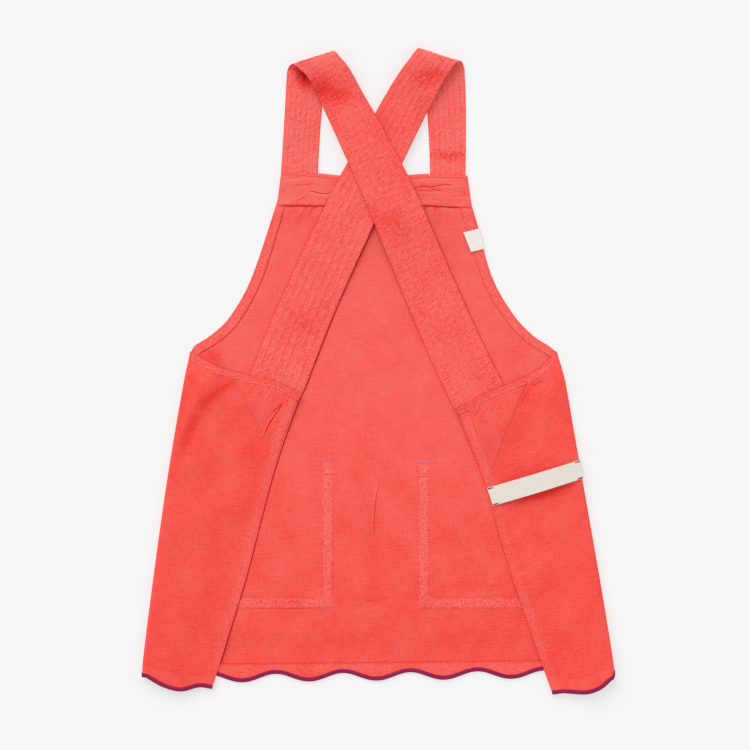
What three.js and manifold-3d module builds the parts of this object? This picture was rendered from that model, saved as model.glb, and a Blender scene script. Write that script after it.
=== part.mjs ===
// A cross-back smock lying flat with its back upwards. One cloth makes the front panel and, folded over
// at both sides, the two back wings. Quilted straps leave the bib band, roll over at the shoulders, cross
// and run under the top edges of the wings. The hem is scalloped and bound.
// Millimetres: X across, Y from the hem to the shoulders, Z up from the surface that it lies on.
import * as THREE from "three";
import { mergeVertices } from "three/addons/utils/BufferGeometryUtils.js";
import Module from "manifold-3d";

const wasm = await Module();
wasm.setup();
const { lerp, clamp, smoothstep } = THREE.MathUtils;

// Thicknesses and the clearance between neighbouring pieces
const CLOTH = 1.2; // panel and wings
const TRIM = 1.0; // facings, pockets, patches, tab and each leaf of the band
const STRAP = 2.4; // quilted strap, two cloths and a filling
const TAPE = 1.2; // woven tape of the loop
const BINDING = 0.8; // one leaf of the hem binding
const GAP = 0.3;
const PART_GAP = 0.5; // between the front, the folds and the wings, which one cloth makes

// Front panel: its edges seen from above, from low to high
const CORNER_Y = 28; // armhole corners, where the side folds start
const SIDE_FOLDS = [
  { y: -424, left: -330.6, right: 330.0 },
  { y: -404, left: -329.7, right: 328.3 },
  { y: -292, left: -315.7, right: 310.1 },
  { y: -180, left: -300.3, right: 290.5 },
  { y: -96, left: -287.0, right: 275.8 },
  { y: -12, left: -272.3, right: 261.1 },
  { y: 28, left: -264.0, right: 250.0 },
];
const ARMHOLES = [
  { y: 28, left: -264.0, right: 250.0 },
  { y: 36, left: -257.8, right: 238.5 },
  { y: 47, left: -240.0, right: 220.5 },
  { y: 64, left: -219.0, right: 202.0 },
  { y: 81, left: -205.0, right: 188.0 },
  { y: 114, left: -185.5, right: 167.5 },
  { y: 148, left: -171.5, right: 153.5 },
  { y: 198, left: -154.7, right: 140.7 },
  { y: 246, left: -139.5, right: 126.5 },
];
const FACING = 18; // width of the armhole facings
const FRONT_COLUMNS = 20; // the outer two are as wide as the facings
const LOWER_ROWS = [-375, -340, -305, -265, -225, -185, -150, -126, -95, -62, -35, -8, CORNER_Y];
const BIB_ROWS = [36, 47, 56, 64, 81, 98, 114, 131, 148, 162, 172, 186, 198, 207, 216, 229, 246];

// Scalloped hem: seven waves across the front, one fine row of points along it
const HEM_Y = -425.2;
const HEM_SLOPE = 0.013; // the hem rises a little to the right
const SCALLOP = { pitch: 94.2, depth: 5.6, lowAt: -2.7 };
const HEM_LIP = 4.6; // how far the hem facing stays above the edge
const HEM_FACING_TOP = -405;
const HEM_REST = 1.19; // the binding's lower leaf under the hem lifts its edge by this much
const FINE = 3; // fine steps along the hem in each column

// Side folds and wings: s runs from the fold (0) to the inner edge (1), t from the top (0) to the hem (1)
const FOLD_STEPS = 5;
const FOLD_RADIUS = { top: 3.0, hem: 6.0 };
const WING_COLUMNS = 6;
const WING_FROM = 0.005; // share of a wing's width that is left open at the fold
const WINGS = {
  left: {
    side: -1,
    innerTop: new THREE.Vector2(-107.8, -31.5),
    innerHem: new THREE.Vector2(-232.4, -442.0),
    topSag: [
      { s: 0, down: 0 }, { s: 0.24, down: 8 }, { s: 0.54, down: 3.5 },
      { s: 0.81, down: -3.5 }, { s: 1, down: 0 },
    ],
    hemSag: [
      { s: 0, down: 0 }, { s: 0.27, down: 9.5 }, { s: 0.53, down: 11 },
      { s: 0.8, down: 1 }, { s: 1, down: 0 },
    ],
    innerBow: [{ t: 0, right: 0 }, { t: 1, right: 0 }],
  },
  right: {
    side: 1,
    innerTop: new THREE.Vector2(110.0, -51.5),
    innerHem: new THREE.Vector2(242.9, -449.8),
    topSag: [
      { s: 0, down: 0 }, { s: 0.16, down: 11.5 }, { s: 0.32, down: 11.3 },
      { s: 0.5, down: 7.4 }, { s: 0.7, down: 3.3 }, { s: 1, down: 0 },
    ],
    hemSag: [
      { s: 0, down: 0 }, { s: 0.06, down: 1.2 }, { s: 0.17, down: 9.5 }, { s: 0.32, down: 16 },
      { s: 0.6, down: 10.5 }, { s: 0.78, down: 4 }, { s: 1, down: 0 },
    ],
    innerBow: [
      { t: 0, right: 0 }, { t: 0.12, right: 4.2 }, { t: 0.3, right: 6.2 },
      { t: 0.7, right: -0.7 }, { t: 1, right: 0 },
    ],
  },
};
const WING_INNER = { top: 5.0, hem: 6.4 }; // height of the wings' inner edges
// Soft ridges that run across the wings, each from one (s, t) place to another
const WING_FOLDS = [
  { wing: "left", s0: 0.26, t0: 0.2, s1: 0.08, t1: 0.36, width: 0.1, height: 1.4 },
  { wing: "left", s0: 0.75, t0: 0.4, s1: 0.4, t1: 0.56, width: 0.1, height: 1.0 },
  { wing: "right", s0: 0.2, t0: 0.16, s1: 0.1, t1: 0.26, width: 0.08, height: 1.0 },
  { wing: "right", s0: 0.75, t0: 0.5, s1: 0.3, t1: 0.72, width: 0.12, height: 1.2 },
];

// Bib band, folded over the panel's edge and the strap ends
const BAND = {
  lowY: 231, highY: 277.5, lowLeft: -144.2, lowRight: 131.3, highLeft: -139.6, highRight: 125.2,
};
const BAND_HOLLOW = STRAP + 2 * GAP;
const BAND_HEIGHT = BAND_HOLLOW + 2 * TRIM;
const PANEL_IN_BAND = 17; // depth of the slot that takes the panel's edge
const STRAP_IN_BAND = 20;
const BAND_RISE_FROM = 198; // where the panel starts to rise into the band

// Straps: sections from the band to the wing, by the plan of their outer and inner edges and their height.
// The roll over the shoulder comes between the front and the back sections.
const ON_SURFACE = STRAP / 2;
const IN_BAND = TRIM + GAP + STRAP / 2;
const ON_PANEL = CLOTH + GAP + STRAP / 2;
const ROLL = 6.5; // mid-wall radius of the shoulder roll
const ROLL_TOP = ON_SURFACE + 2 * ROLL;
const UNDER = BAND_HEIGHT + GAP + STRAP / 2; // height of the lower strap where they cross
const OVER = UNDER + STRAP + 0.4;
const STRAPS = {
  strap_left: {
    front: [
      { ox: -137.0, oy: 259, ix: -85.4, iy: 259, z: IN_BAND },
      { ox: -136.5, oy: 278, ix: -84.7, iy: 278, z: IN_BAND },
      { ox: -134.4, oy: 312, ix: -83.3, iy: 312, z: ON_SURFACE },
      { ox: -131.0, oy: 370, ix: -78.0, iy: 378, z: ON_SURFACE },
      { ox: -128.2, oy: 420.5, ix: -65.4, iy: 441.0, z: ON_SURFACE },
    ],
    back: [
      { ox: -113.5, oy: 424.5, ix: -56.8, iy: 442.4, z: ROLL_TOP },
      { ox: -97.3, oy: 408, ix: -41.5, iy: 424, z: 13.4 },
      { ox: -76.3, oy: 366, ix: -23.0, iy: 391.5, z: 10.2 },
      { ox: -52.0, oy: 313, ix: 4.0, iy: 344, z: OVER },
      { ox: -17.5, oy: 238.7, ix: 42.0, iy: 273, z: OVER },
      { ox: 3.5, oy: 184, ix: 66.0, iy: 222, z: OVER - 0.1 },
      { ox: 34.3, oy: 110, ix: 101.0, iy: 145, z: 4.2 },
      { ox: 77.7, oy: 19, ix: 146.0, iy: 49.7, z: ON_PANEL },
      { ox: 108.5, oy: -52.5, ix: 177.1, iy: -19, z: ON_PANEL },
      { ox: 115.5, oy: -69, ix: 184.0, iy: -36, z: ON_PANEL },
    ],
  },
  strap_right: {
    front: [
      { ox: 122.5, oy: 259, ix: 72.1, iy: 259, z: IN_BAND },
      { ox: 121.8, oy: 278, ix: 72.1, iy: 278, z: IN_BAND },
      { ox: 122.3, oy: 312, ix: 71.4, iy: 312, z: ON_SURFACE },
      { ox: 122.5, oy: 370, ix: 67.0, iy: 378, z: ON_SURFACE },
      { ox: 120.5, oy: 424.5, ix: 58.4, iy: 444.0, z: ON_SURFACE },
    ],
    back: [
      { ox: 106.7, oy: 429, ix: 50.8, iy: 446.4, z: ROLL_TOP },
      { ox: 90.0, oy: 404, ix: 31.0, iy: 420, z: 12.2 },
      { ox: 69.3, oy: 364.7, ix: 11.2, iy: 389, z: 7.8 },
      { ox: 41.0, oy: 307, ix: -16.0, iy: 341, z: UNDER },
      { ox: 5.0, oy: 230, ix: -56.0, iy: 265, z: UNDER },
      { ox: -20.0, oy: 176, ix: -84.0, iy: 210, z: UNDER - 0.1 },
      { ox: -52.0, oy: 108, ix: -117.0, iy: 142, z: 3.6 },
      { ox: -83.0, oy: 41, ix: -151.0, iy: 65, z: ON_PANEL },
      { ox: -105.0, oy: -23, ix: -176.5, iy: -2, z: ON_PANEL },
      { ox: -112.0, oy: -48, ix: -184.0, iy: -27, z: ON_PANEL },
    ],
  },
};
const STRAP_COLUMNS = 4;
const STRAP_STEPS = 3; // stations between two sections
const ROLL_STEPS = 8;

// Patch pockets on the outside of the front, so they lie under the panel
const POCKET = { width: 175, height: 205, corner: 14, topY: -126, leftInnerX: -62.3, rightInnerX: 53.9 };
const POCKET_MARGIN = { x: 36, y: 30, fall: 28 }; // how far around a pocket the panel stays raised

// Corner patches, from a place on a wing's top edge to one on its inner edge
const PATCHES = {
  corner_patch_left: { wing: "left", topFrom: 0.39, innerTo: 0.235, inset: 0.015 },
  corner_patch_right: { wing: "right", topFrom: 0.3, innerTo: 0.268, inset: 0.015 },
};

// Towel loop on the right wing: where its two edges cross the inner edge and the fold, and its rise
const LOOP = {
  innerHigh: 0.281, innerLow: 0.344, foldHigh: 0.336, foldLow: 0.394, rise: 7, from: 0.985, to: -0.03,
};

// Tab folded round the right armhole edge
const TAB = { lowY: 171.5, highY: 200, leg: 21, riseInside: 34, riseFall: 12, riseEnds: 14 };

const CORAL = { color: "#f5655b", roughness: 0.9, metalness: 0 };
const CORAL_QUILTED = { color: "#f6655c", roughness: 0.92, metalness: 0 };
const PLUM = { color: "#93285a", roughness: 0.75, metalness: 0 };
const CREAM = { color: "#e9e0d3", roughness: 0.88, metalness: 0 };

// One column of a table at a place between its rows, on a smooth curve through them
function read(table, key, column, at) {
  const last = table.length - 1;
  const place = clamp(at, table[0][key], table[last][key]);
  let low = 0;
  while (low < last - 1 && table[low + 1][key] < place) low += 1;
  const slope = (row) => {
    const before = table[Math.max(row - 1, 0)];
    const after = table[Math.min(row + 1, last)];
    return (after[column] - before[column]) / (after[key] - before[key]);
  };
  const span = table[low + 1][key] - table[low][key];
  const f = (place - table[low][key]) / span;
  const a = table[low][column];
  const b = table[low + 1][column];
  const bend = f * (1 - f);
  return lerp(a, b, f * f * (3 - 2 * f)) + bend * span * (slope(low) * (1 - f) - slope(low + 1) * f);
}

// A cloth's middle surface, as points and three- or four-cornered cells that share them
class Sheet {
  points = [];
  cells = [];

  row(points) {
    return points.map((point) => this.points.push(point) - 1);
  }

  strip(low, high) {
    for (let i = 0; i + 1 < low.length; i += 1) this.cells.push([low[i], low[i + 1], high[i + 1], high[i]]);
  }

  // Joins a fine row below to a coarse row above, with the given number of fine steps in each coarse one
  fan(fine, coarse, steps) {
    let at = 0;
    steps.forEach((count, column) => {
      const turn = Math.floor(count / 2);
      for (let i = 0; i < count; i += 1) {
        if (i === turn) this.cells.push([fine[at], coarse[column + 1], coarse[column]]);
        this.cells.push([fine[at], fine[at + 1], coarse[column + (i < turn ? 0 : 1)]]);
        at += 1;
      }
    });
  }

  // The closed wall of even thickness around the surface
  wall(thickness) {
    const normals = this.points.map(() => new THREE.Vector3());
    const rims = new Map();
    for (const cell of this.cells) {
      const [a, b, c] = cell.map((index) => this.points[index]);
      const across = b.clone().sub(a);
      const up = (cell.length === 4 ? this.points[cell[3]] : c).clone().sub(a);
      const normal = across.cross(up);
      cell.forEach((index, i) => {
        normals[index].add(normal);
        const next = cell[(i + 1) % cell.length];
        if (!rims.delete(`${next} ${index}`)) rims.set(`${index} ${next}`, [index, next]);
      });
    }
    const count = this.points.length;
    const places = [0.5, -0.5].flatMap((share) =>
      this.points.flatMap((point, i) => {
        const offset = normals[i].clone().setLength(share * thickness);
        return point.clone().add(offset).toArray();
      }),
    );
    const triangles = [];
    for (const cell of this.cells) {
      for (let i = 1; i + 1 < cell.length; i += 1) {
        triangles.push(cell[0], cell[i], cell[i + 1]);
        triangles.push(cell[0] + count, cell[i + 1] + count, cell[i] + count);
      }
    }
    for (const [a, b] of rims.values()) triangles.push(a + count, b + count, b, a + count, b, a);
    return meshGeometry(places, triangles);
  }
}

function meshGeometry(places, triangles) {
  const geometry = new THREE.BufferGeometry();
  geometry.setAttribute("position", new THREE.Float32BufferAttribute(places, 3));
  geometry.setIndex(triangles);
  return geometry;
}

function gridWall(rows, thickness) {
  const sheet = new Sheet();
  const made = rows.map((row) => sheet.row(row));
  for (let i = 0; i + 1 < made.length; i += 1) sheet.strip(made[i], made[i + 1]);
  return sheet.wall(thickness);
}

function asSolid(geometry) {
  const bare = geometry.clone();
  bare.deleteAttribute("normal");
  bare.deleteAttribute("uv");
  const merged = mergeVertices(bare, 1e-4);
  const vertProperties = new Float32Array(merged.attributes.position.array);
  const triVerts = new Uint32Array(merged.index.array);
  return new wasm.Manifold(new wasm.Mesh({ numProp: 3, vertProperties, triVerts }));
}

function cut(geometry, tools) {
  const left = tools.reduce((solid, tool) => solid.subtract(asSolid(tool)), asSolid(geometry));
  const mesh = left.getMesh();
  return meshGeometry(mesh.vertProperties, Array.from(mesh.triVerts));
}

// How far a place lies outside a range, zero inside it
const outside = (at, low, high) => Math.max(low - at, at - high, 0);

function edgeX(y, side) {
  return read(y < CORNER_Y ? SIDE_FOLDS : ARMHOLES, "y", side, y);
}

function pocketLeftX(side) {
  return side === "left" ? POCKET.leftInnerX - POCKET.width : POCKET.rightInnerX;
}

// Height of the panel's middle: it rises over the pockets, the tab and the hem's lip, and into the band
function panelHeight(x, y) {
  const intoBand = (BAND_HEIGHT / 2 - CLOTH / 2) * smoothstep(y, BAND_RISE_FROM, BAND.lowY - 2);
  const overPockets = ["left", "right"].map((side) => {
    const from = pocketLeftX(side);
    const beside = outside(x, from - POCKET_MARGIN.x, from + POCKET.width + POCKET_MARGIN.x);
    const beyond = outside(y, POCKET.topY - POCKET.height - POCKET_MARGIN.y, POCKET.topY + POCKET_MARGIN.y);
    return (TRIM + GAP) * (1 - smoothstep(Math.hypot(beside, beyond), 0, POCKET_MARGIN.fall));
  });
  const fromTab = outside(y, TAB.lowY - TAB.riseEnds, TAB.highY + TAB.riseEnds) / TAB.riseEnds;
  const inFromTab = (edgeX(y, "right") - x - TAB.riseInside) / TAB.riseFall;
  const overTab = (TRIM + GAP) * (1 - clamp(Math.max(fromTab, inFromTab), 0, 1));
  const toLip = (HEM_FACING_TOP - y) / (HEM_FACING_TOP - hemY(x, HEM_LIP));
  const overHemLip = HEM_REST * clamp(toLip, 0, 1);
  return CLOTH / 2 + Math.max(intoBand, ...overPockets, overTab, overHemLip);
}

function hemY(x, inset) {
  const wave = SCALLOP.depth * Math.cos((2 * Math.PI * (x - SCALLOP.lowAt)) / SCALLOP.pitch);
  return HEM_Y + HEM_SLOPE * x - wave + inset;
}

const downWing = (y) => clamp((CORNER_Y - y) / (CORNER_Y - HEM_Y), 0, 1);

function foldRadius(t) {
  return lerp(FOLD_RADIUS.top, FOLD_RADIUS.hem, t ** 1.5);
}

// Where the flat panel ends and the side fold's half turn starts
function foldStart(y, side) {
  const inward = foldRadius(downWing(y)) + CLOTH / 2;
  return edgeX(y, side) - WINGS[side].side * inward;
}

// A place on the panel, by a column number that may fall between columns
function panelPoint(column, y, inset) {
  const rowY = y ?? HEM_Y + inset;
  const sideX = rowY <= CORNER_Y ? foldStart : edgeX;
  const [left, right] = ["left", "right"].map((side) => sideX(rowY, side));
  const inner = (right - left - 2 * FACING) / (FRONT_COLUMNS - 2);
  const fromLeft = FACING * Math.min(column, 1) + inner * clamp(column - 1, 0, FRONT_COLUMNS - 2);
  const x = left + fromLeft + FACING * Math.max(column - FRONT_COLUMNS + 1, 0);
  const placeY = y ?? hemY(x, inset);
  return new THREE.Vector3(x, placeY, panelHeight(x, placeY));
}

function foldPoint(side, angle, y, inset) {
  const start = panelPoint(side === "left" ? 0 : FRONT_COLUMNS, y, inset);
  const radius = foldRadius(downWing(start.y));
  start.x += WINGS[side].side * radius * Math.sin(angle);
  start.z += radius * (1 - Math.cos(angle));
  return start;
}

function ridgeHeight(name, s, t) {
  const here = new THREE.Vector2(s, t);
  return WING_FOLDS.filter((fold) => fold.wing === name).reduce((sum, fold) => {
    const from = new THREE.Vector2(fold.s0, fold.t0);
    const along = new THREE.Vector2(fold.s1, fold.t1).sub(from);
    const share = clamp(here.clone().sub(from).dot(along) / along.lengthSq(), 0, 1);
    const away = here.distanceTo(from.addScaledVector(along, share));
    return sum + fold.height * Math.exp(-((away / fold.width) ** 2));
  }, 0);
}

// A place on a wing, where the fold's row has the given height on the panel
function wingPoint(name, s, y, inset) {
  const wing = WINGS[name];
  const top = foldPoint(name, Math.PI, y, inset);
  const t = y === undefined ? 1 - inset / (CORNER_Y - HEM_Y) : downWing(y);
  const inner = wing.innerTop.clone().lerp(wing.innerHem, t);
  const place = new THREE.Vector3(lerp(top.x, inner.x, s), lerp(top.y, inner.y, s), 0);
  place.x += s * read(wing.innerBow, "t", "right", t);
  place.y -= (1 - t) * read(wing.topSag, "s", "down", s) + t * read(wing.hemSag, "s", "down", s);
  const innerZ = lerp(WING_INNER.top, WING_INNER.hem, t);
  place.z = lerp(top.z, innerZ, smoothstep(s, 0, 1)) + ridgeHeight(name, s, t);
  return place;
}

const atWing = (name, s, t) => wingPoint(name, s, lerp(CORNER_Y, HEM_Y, t));

const panelRow = (y) => Array.from({ length: FRONT_COLUMNS + 1 }, (_, i) => panelPoint(i, y));

// A part of the body, from the scalloped hem up through its rows; across gives its points from side to side
function hemmedCloth(columns, fine, rows, across) {
  const sheet = new Sheet();
  const row = (count, y, inset) =>
    sheet.row(Array.from({ length: count + 1 }, (_, i) => across(i / count, y, inset)));
  const lip = row(columns * fine, undefined, HEM_LIP);
  sheet.strip(row(columns * fine, undefined, 0), lip);
  let below = row(columns, HEM_FACING_TOP);
  sheet.fan(lip, below, Array(columns).fill(fine));
  for (const y of rows) {
    const above = row(columns, y);
    sheet.strip(below, above);
    below = above;
  }
  return sheet.wall(CLOTH);
}

function frontPanel() {
  const from = PART_GAP / FACING;
  const across = (share, y, inset) =>
    panelPoint(clamp(share * FRONT_COLUMNS, from, FRONT_COLUMNS - from), y, inset);
  return hemmedCloth(FRONT_COLUMNS, FINE, [...LOWER_ROWS, ...BIB_ROWS], across);
}

function sideFold(side) {
  const across = (share, y, inset) => foldPoint(side, Math.PI * share, y, inset);
  return hemmedCloth(FOLD_STEPS, 1, LOWER_ROWS, across);
}

function wing(side) {
  const fromFold = (share) => Math.max(side === "left" ? 1 - share : share, WING_FROM);
  const across = (share, y, inset) => wingPoint(side, fromFold(share), y, inset);
  return hemmedCloth(WING_COLUMNS, FINE, LOWER_ROWS, across);
}

const lifted = (point, height) => point.clone().setZ(point.z + height);
const ON_CLOTH = CLOTH / 2 + GAP + TRIM / 2;

function armholeFacing(side) {
  const columns = side === "left" ? [0, 1] : [FRONT_COLUMNS - 1, FRONT_COLUMNS];
  const rows = [CORNER_Y, ...BIB_ROWS].filter((y) => y < BAND.lowY);
  return gridWall(rows.map((y) => columns.map((column) => lifted(panelPoint(column, y), ON_CLOTH))), TRIM);
}

function hemFacing() {
  const sheet = new Sheet();
  const fine = Array.from({ length: FRONT_COLUMNS * FINE + 1 }, (_, i) => i / FINE);
  const lip = sheet.row(fine.map((column) => lifted(panelPoint(column, undefined, HEM_LIP), ON_CLOTH)));
  const top = sheet.row(panelRow(HEM_FACING_TOP).map((point) => lifted(point, ON_CLOTH)));
  sheet.fan(lip, top, Array(FRONT_COLUMNS).fill(FINE));
  return sheet.wall(TRIM);
}

// The whole hem from the left wing's inner edge to the right wing's, at a distance in from the cloth's edge
function hemRow(inset) {
  const points = (count, at) => Array.from({ length: count }, (_, i) => at(i));
  const wingSteps = WING_COLUMNS * FINE;
  const aside = (side) => [
    ...points(FOLD_STEPS, (i) => foldPoint(side, (Math.PI * (i + 1)) / FOLD_STEPS, undefined, inset)),
    ...points(wingSteps, (i) => wingPoint(side, (i + 1) / wingSteps, undefined, inset)),
  ];
  const front = points(FRONT_COLUMNS * FINE + 1, (i) => panelPoint(i / FINE, undefined, inset));
  return [...aside("left").reverse(), ...front, ...aside("right")];
}

// Places along the hem, each with the way along it, out of the cloth's edge and up from its face
function hemStations() {
  const edge = hemRow(0);
  const lip = hemRow(HEM_LIP);
  return edge.map((point, i) => {
    const along = edge[Math.min(i + 1, edge.length - 1)].clone().sub(edge[Math.max(i - 1, 0)]).normalize();
    const out = point.clone().sub(lip[i]);
    out.addScaledVector(along, -out.dot(along)).normalize();
    return { point, along, out, up: out.clone().cross(along) };
  });
}

// A binding folded over the hem's edge, swept along some of its places with the open side towards the cloth
function hemBinding(stations) {
  const slot = CLOTH / 2 + GAP;
  const half = slot + BINDING;
  const [inside, round, outer] = [-4.0, 1.5, 2.5];
  const section = [
    [inside, slot], [inside, half], [round, half], [outer, 0], [round, -half],
    [inside, -half], [inside, -slot], [GAP, -slot], [GAP, slot],
  ].map(([out, up]) => new THREE.Vector2(out, up));
  const last = stations.length - 1;
  const places = stations.flatMap(({ point, along, out, up }, i) => {
    const inwards = i === 0 ? PART_GAP / 2 : i === last ? -PART_GAP / 2 : 0;
    const place = point.clone().addScaledVector(along, inwards);
    return section.flatMap((p) => place.clone().addScaledVector(out, p.x).addScaledVector(up, p.y).toArray());
  });
  const count = section.length;
  const triangles = [];
  for (let i = 0; i < last; i += 1) {
    section.forEach((_, k) => {
      const [a, b] = [i * count + k, i * count + ((k + 1) % count)];
      triangles.push(a, b, b + count, a, b + count, a + count);
    });
  }
  const end = last * count;
  for (const [a, b, c] of THREE.ShapeUtils.triangulateShape(section, [])) {
    triangles.push(a, b, c, end + a, end + c, end + b);
  }
  return outwards(meshGeometry(places, triangles));
}

// The binding's lengths on the left wing, round the left fold, across the front and so on to the right wing
function hemBindings() {
  const stations = hemStations();
  const lengths = [
    ["wing_left", WING_COLUMNS * FINE], ["fold_left", FOLD_STEPS], ["front", FRONT_COLUMNS * FINE],
    ["fold_right", FOLD_STEPS], ["wing_right", WING_COLUMNS * FINE],
  ];
  let from = 0;
  return lengths.map(([place, steps]) => {
    const made = stations.slice(from, from + steps + 1);
    from += steps;
    return piece(`hem_binding_${place}`, hemBinding(made), PLUM);
  });
}

// Turns every face over when a closed mesh encloses a negative volume
function outwards(geometry) {
  const index = Array.from(geometry.index.array);
  const at = (i) => new THREE.Vector3().fromBufferAttribute(geometry.attributes.position, index[i]);
  let volume = 0;
  for (let i = 0; i < index.length; i += 3) volume += at(i).dot(at(i + 1).cross(at(i + 2)));
  if (volume < 0) geometry.setIndex(index.reverse());
  return geometry;
}

function block(low, high) {
  const size = high.clone().sub(low);
  const centre = low.clone().lerp(high, 0.5);
  return new THREE.BoxGeometry(size.x, size.y, size.z).translate(centre.x, centre.y, centre.z);
}

function bibBand() {
  const outline = new THREE.Shape([
    new THREE.Vector2(BAND.lowLeft, BAND.lowY),
    new THREE.Vector2(BAND.lowRight, BAND.lowY),
    new THREE.Vector2(BAND.highRight, BAND.highY),
    new THREE.Vector2(BAND.highLeft, BAND.highY),
  ]);
  const whole = new THREE.ExtrudeGeometry(outline, { depth: BAND_HEIGHT, bevelEnabled: false });
  const past = 20;
  const panelSlot = block(
    new THREE.Vector3(BAND.lowLeft - past, BAND.lowY - past, TRIM),
    new THREE.Vector3(BAND.lowRight + past, BAND.lowY + PANEL_IN_BAND, TRIM + BAND_HOLLOW),
  );
  const strapSlots = Object.values(STRAPS).map(({ front: [, mouth] }) =>
    block(
      new THREE.Vector3(Math.min(mouth.ox, mouth.ix) - 3 * GAP, BAND.highY - STRAP_IN_BAND, TRIM),
      new THREE.Vector3(Math.max(mouth.ox, mouth.ix) + 3 * GAP, BAND.highY + past, TRIM + BAND_HOLLOW),
    ),
  );
  return cut(whole, [panelSlot, ...strapSlots]);
}

// Stations between the sections of one run of a strap
function runStations(sections) {
  const numbered = sections.map((section, row) => ({ ...section, row }));
  const count = (sections.length - 1) * STRAP_STEPS;
  return Array.from({ length: count + 1 }, (_, i) => {
    const at = (column) => read(numbered, "row", column, i / STRAP_STEPS);
    return { ox: at("ox"), oy: at("oy"), ix: at("ix"), iy: at("iy"), z: Math.max(at("z"), ON_SURFACE) };
  });
}

function strap({ front, back }) {
  const from = front.at(-1);
  const to = back[0];
  const side = Math.sign(from.ix - from.ox);
  const beyond = new THREE.Vector2(from.oy - from.iy, from.ix - from.ox).multiplyScalar(side).normalize();
  const roll = Array.from({ length: ROLL_STEPS - 1 }, (_, i) => {
    const share = (i + 1) / ROLL_STEPS;
    const out = beyond.clone().multiplyScalar(ROLL * Math.sin(Math.PI * share));
    return {
      ox: lerp(from.ox, to.ox, share) + out.x,
      oy: lerp(from.oy, to.oy, share) + out.y,
      ix: lerp(from.ix, to.ix, share) + out.x,
      iy: lerp(from.iy, to.iy, share) + out.y,
      z: from.z + ROLL * (1 - Math.cos(Math.PI * share)),
    };
  });
  const stations = [...runStations(front), ...roll, ...runStations(back)];
  const rows = stations.map((station) =>
    Array.from({ length: STRAP_COLUMNS + 1 }, (_, i) => {
      const share = i / STRAP_COLUMNS;
      const x = lerp(station.ox, station.ix, share);
      return new THREE.Vector3(x, lerp(station.oy, station.iy, share), station.z);
    }),
  );
  return gridWall(rows, STRAP);
}

function pocket() {
  const { width, height, corner } = POCKET;
  const outline = new THREE.Shape([
    new THREE.Vector2(0, 0),
    new THREE.Vector2(0, corner - height),
    new THREE.Vector2(corner, -height),
    new THREE.Vector2(width - corner, -height),
    new THREE.Vector2(width, corner - height),
    new THREE.Vector2(width, 0),
  ]);
  return new THREE.ExtrudeGeometry(outline, { depth: TRIM, bevelEnabled: false });
}

function cornerPatch({ wing, topFrom, innerTo, inset }) {
  const [rowCount, columnCount, tip] = [6, 4, 0.02];
  const rows = Array.from({ length: rowCount + 1 }, (_, i) => {
    const down = i / rowCount;
    const from = lerp(topFrom, 1 - inset - tip, down);
    return Array.from({ length: columnCount + 1 }, (_, k) => {
      const s = lerp(from, 1 - inset, k / columnCount);
      return lifted(atWing(wing, s, lerp(inset, innerTo, down)), ON_CLOTH);
    });
  });
  return gridWall(rows, TRIM);
}

function towelLoop() {
  const count = 14;
  const rows = Array.from({ length: count + 1 }, (_, i) => {
    const share = i / count;
    const rise = CLOTH / 2 + GAP + TAPE / 2 + LOOP.rise * Math.sin(Math.PI * share) ** 1.2;
    const s = lerp(LOOP.from, LOOP.to, share);
    const high = atWing("right", s, lerp(LOOP.innerHigh, LOOP.foldHigh, share));
    const low = atWing("right", s, lerp(LOOP.innerLow, LOOP.foldLow, share));
    return [lifted(high, rise), lifted(low, rise)];
  });
  return gridWall(rows, TAPE);
}

function edgeTab() {
  const middle = TRIM + GAP + (CLOTH + GAP + TRIM) / 2;
  const radius = middle - TRIM / 2;
  const turnSteps = 6;
  const profile = [{ in: TAB.leg, up: middle + radius }];
  for (let i = 0; i <= turnSteps; i += 1) {
    const angle = (Math.PI * i) / turnSteps;
    profile.push({ in: -radius * Math.sin(angle), up: middle + radius * Math.cos(angle) });
  }
  profile.push({ in: TAB.leg, up: middle - radius });
  const [from, to] = [TAB.lowY, TAB.highY].map((y) => new THREE.Vector2(edgeX(y, "right"), y));
  const along = to.clone().sub(from).normalize();
  const inward = new THREE.Vector2(-along.y, along.x);
  const rows = [from, to].map((end) =>
    profile.map((p) => new THREE.Vector3(end.x + inward.x * p.in, end.y + inward.y * p.in, p.up)),
  );
  return gridWall(rows, TRIM);
}

function piece(name, geometry, finish) {
  const mesh = new THREE.Mesh(geometry, new THREE.MeshStandardMaterial(finish));
  mesh.name = name;
  return mesh;
}

function pockets() {
  const group = new THREE.Group();
  for (const side of ["left", "right"]) {
    const mesh = piece(`pocket_${side}`, pocket(), CORAL);
    mesh.position.set(pocketLeftX(side), POCKET.topY, 0);
    group.add(mesh);
  }
  return group;
}

const body = new THREE.Group();
body.add(piece("front_panel", frontPanel(), CORAL));
body.add(piece("bib_band", bibBand(), CORAL));
body.add(piece("hem_facing", hemFacing(), CORAL));
body.add(...hemBindings());
for (const side of ["left", "right"]) {
  body.add(piece(`side_fold_${side}`, sideFold(side), CORAL));
  body.add(piece(`wing_${side}`, wing(side), CORAL));
  body.add(piece(`armhole_facing_${side}`, armholeFacing(side), CORAL));
}
for (const [name, patch] of Object.entries(PATCHES)) body.add(piece(name, cornerPatch(patch), CORAL));

const straps = new THREE.Group();
for (const [name, runs] of Object.entries(STRAPS)) straps.add(piece(name, strap(runs), CORAL_QUILTED));

const trims = new THREE.Group();
trims.add(piece("towel_loop", towelLoop(), CREAM));
trims.add(piece("edge_tab", edgeTab(), CREAM));

const smock = new THREE.Group();
smock.add(body, straps, pockets(), trims);
for (const mesh of [...body.children, ...straps.children, ...trims.children]) outwards(mesh.geometry);

export default smock;
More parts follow.
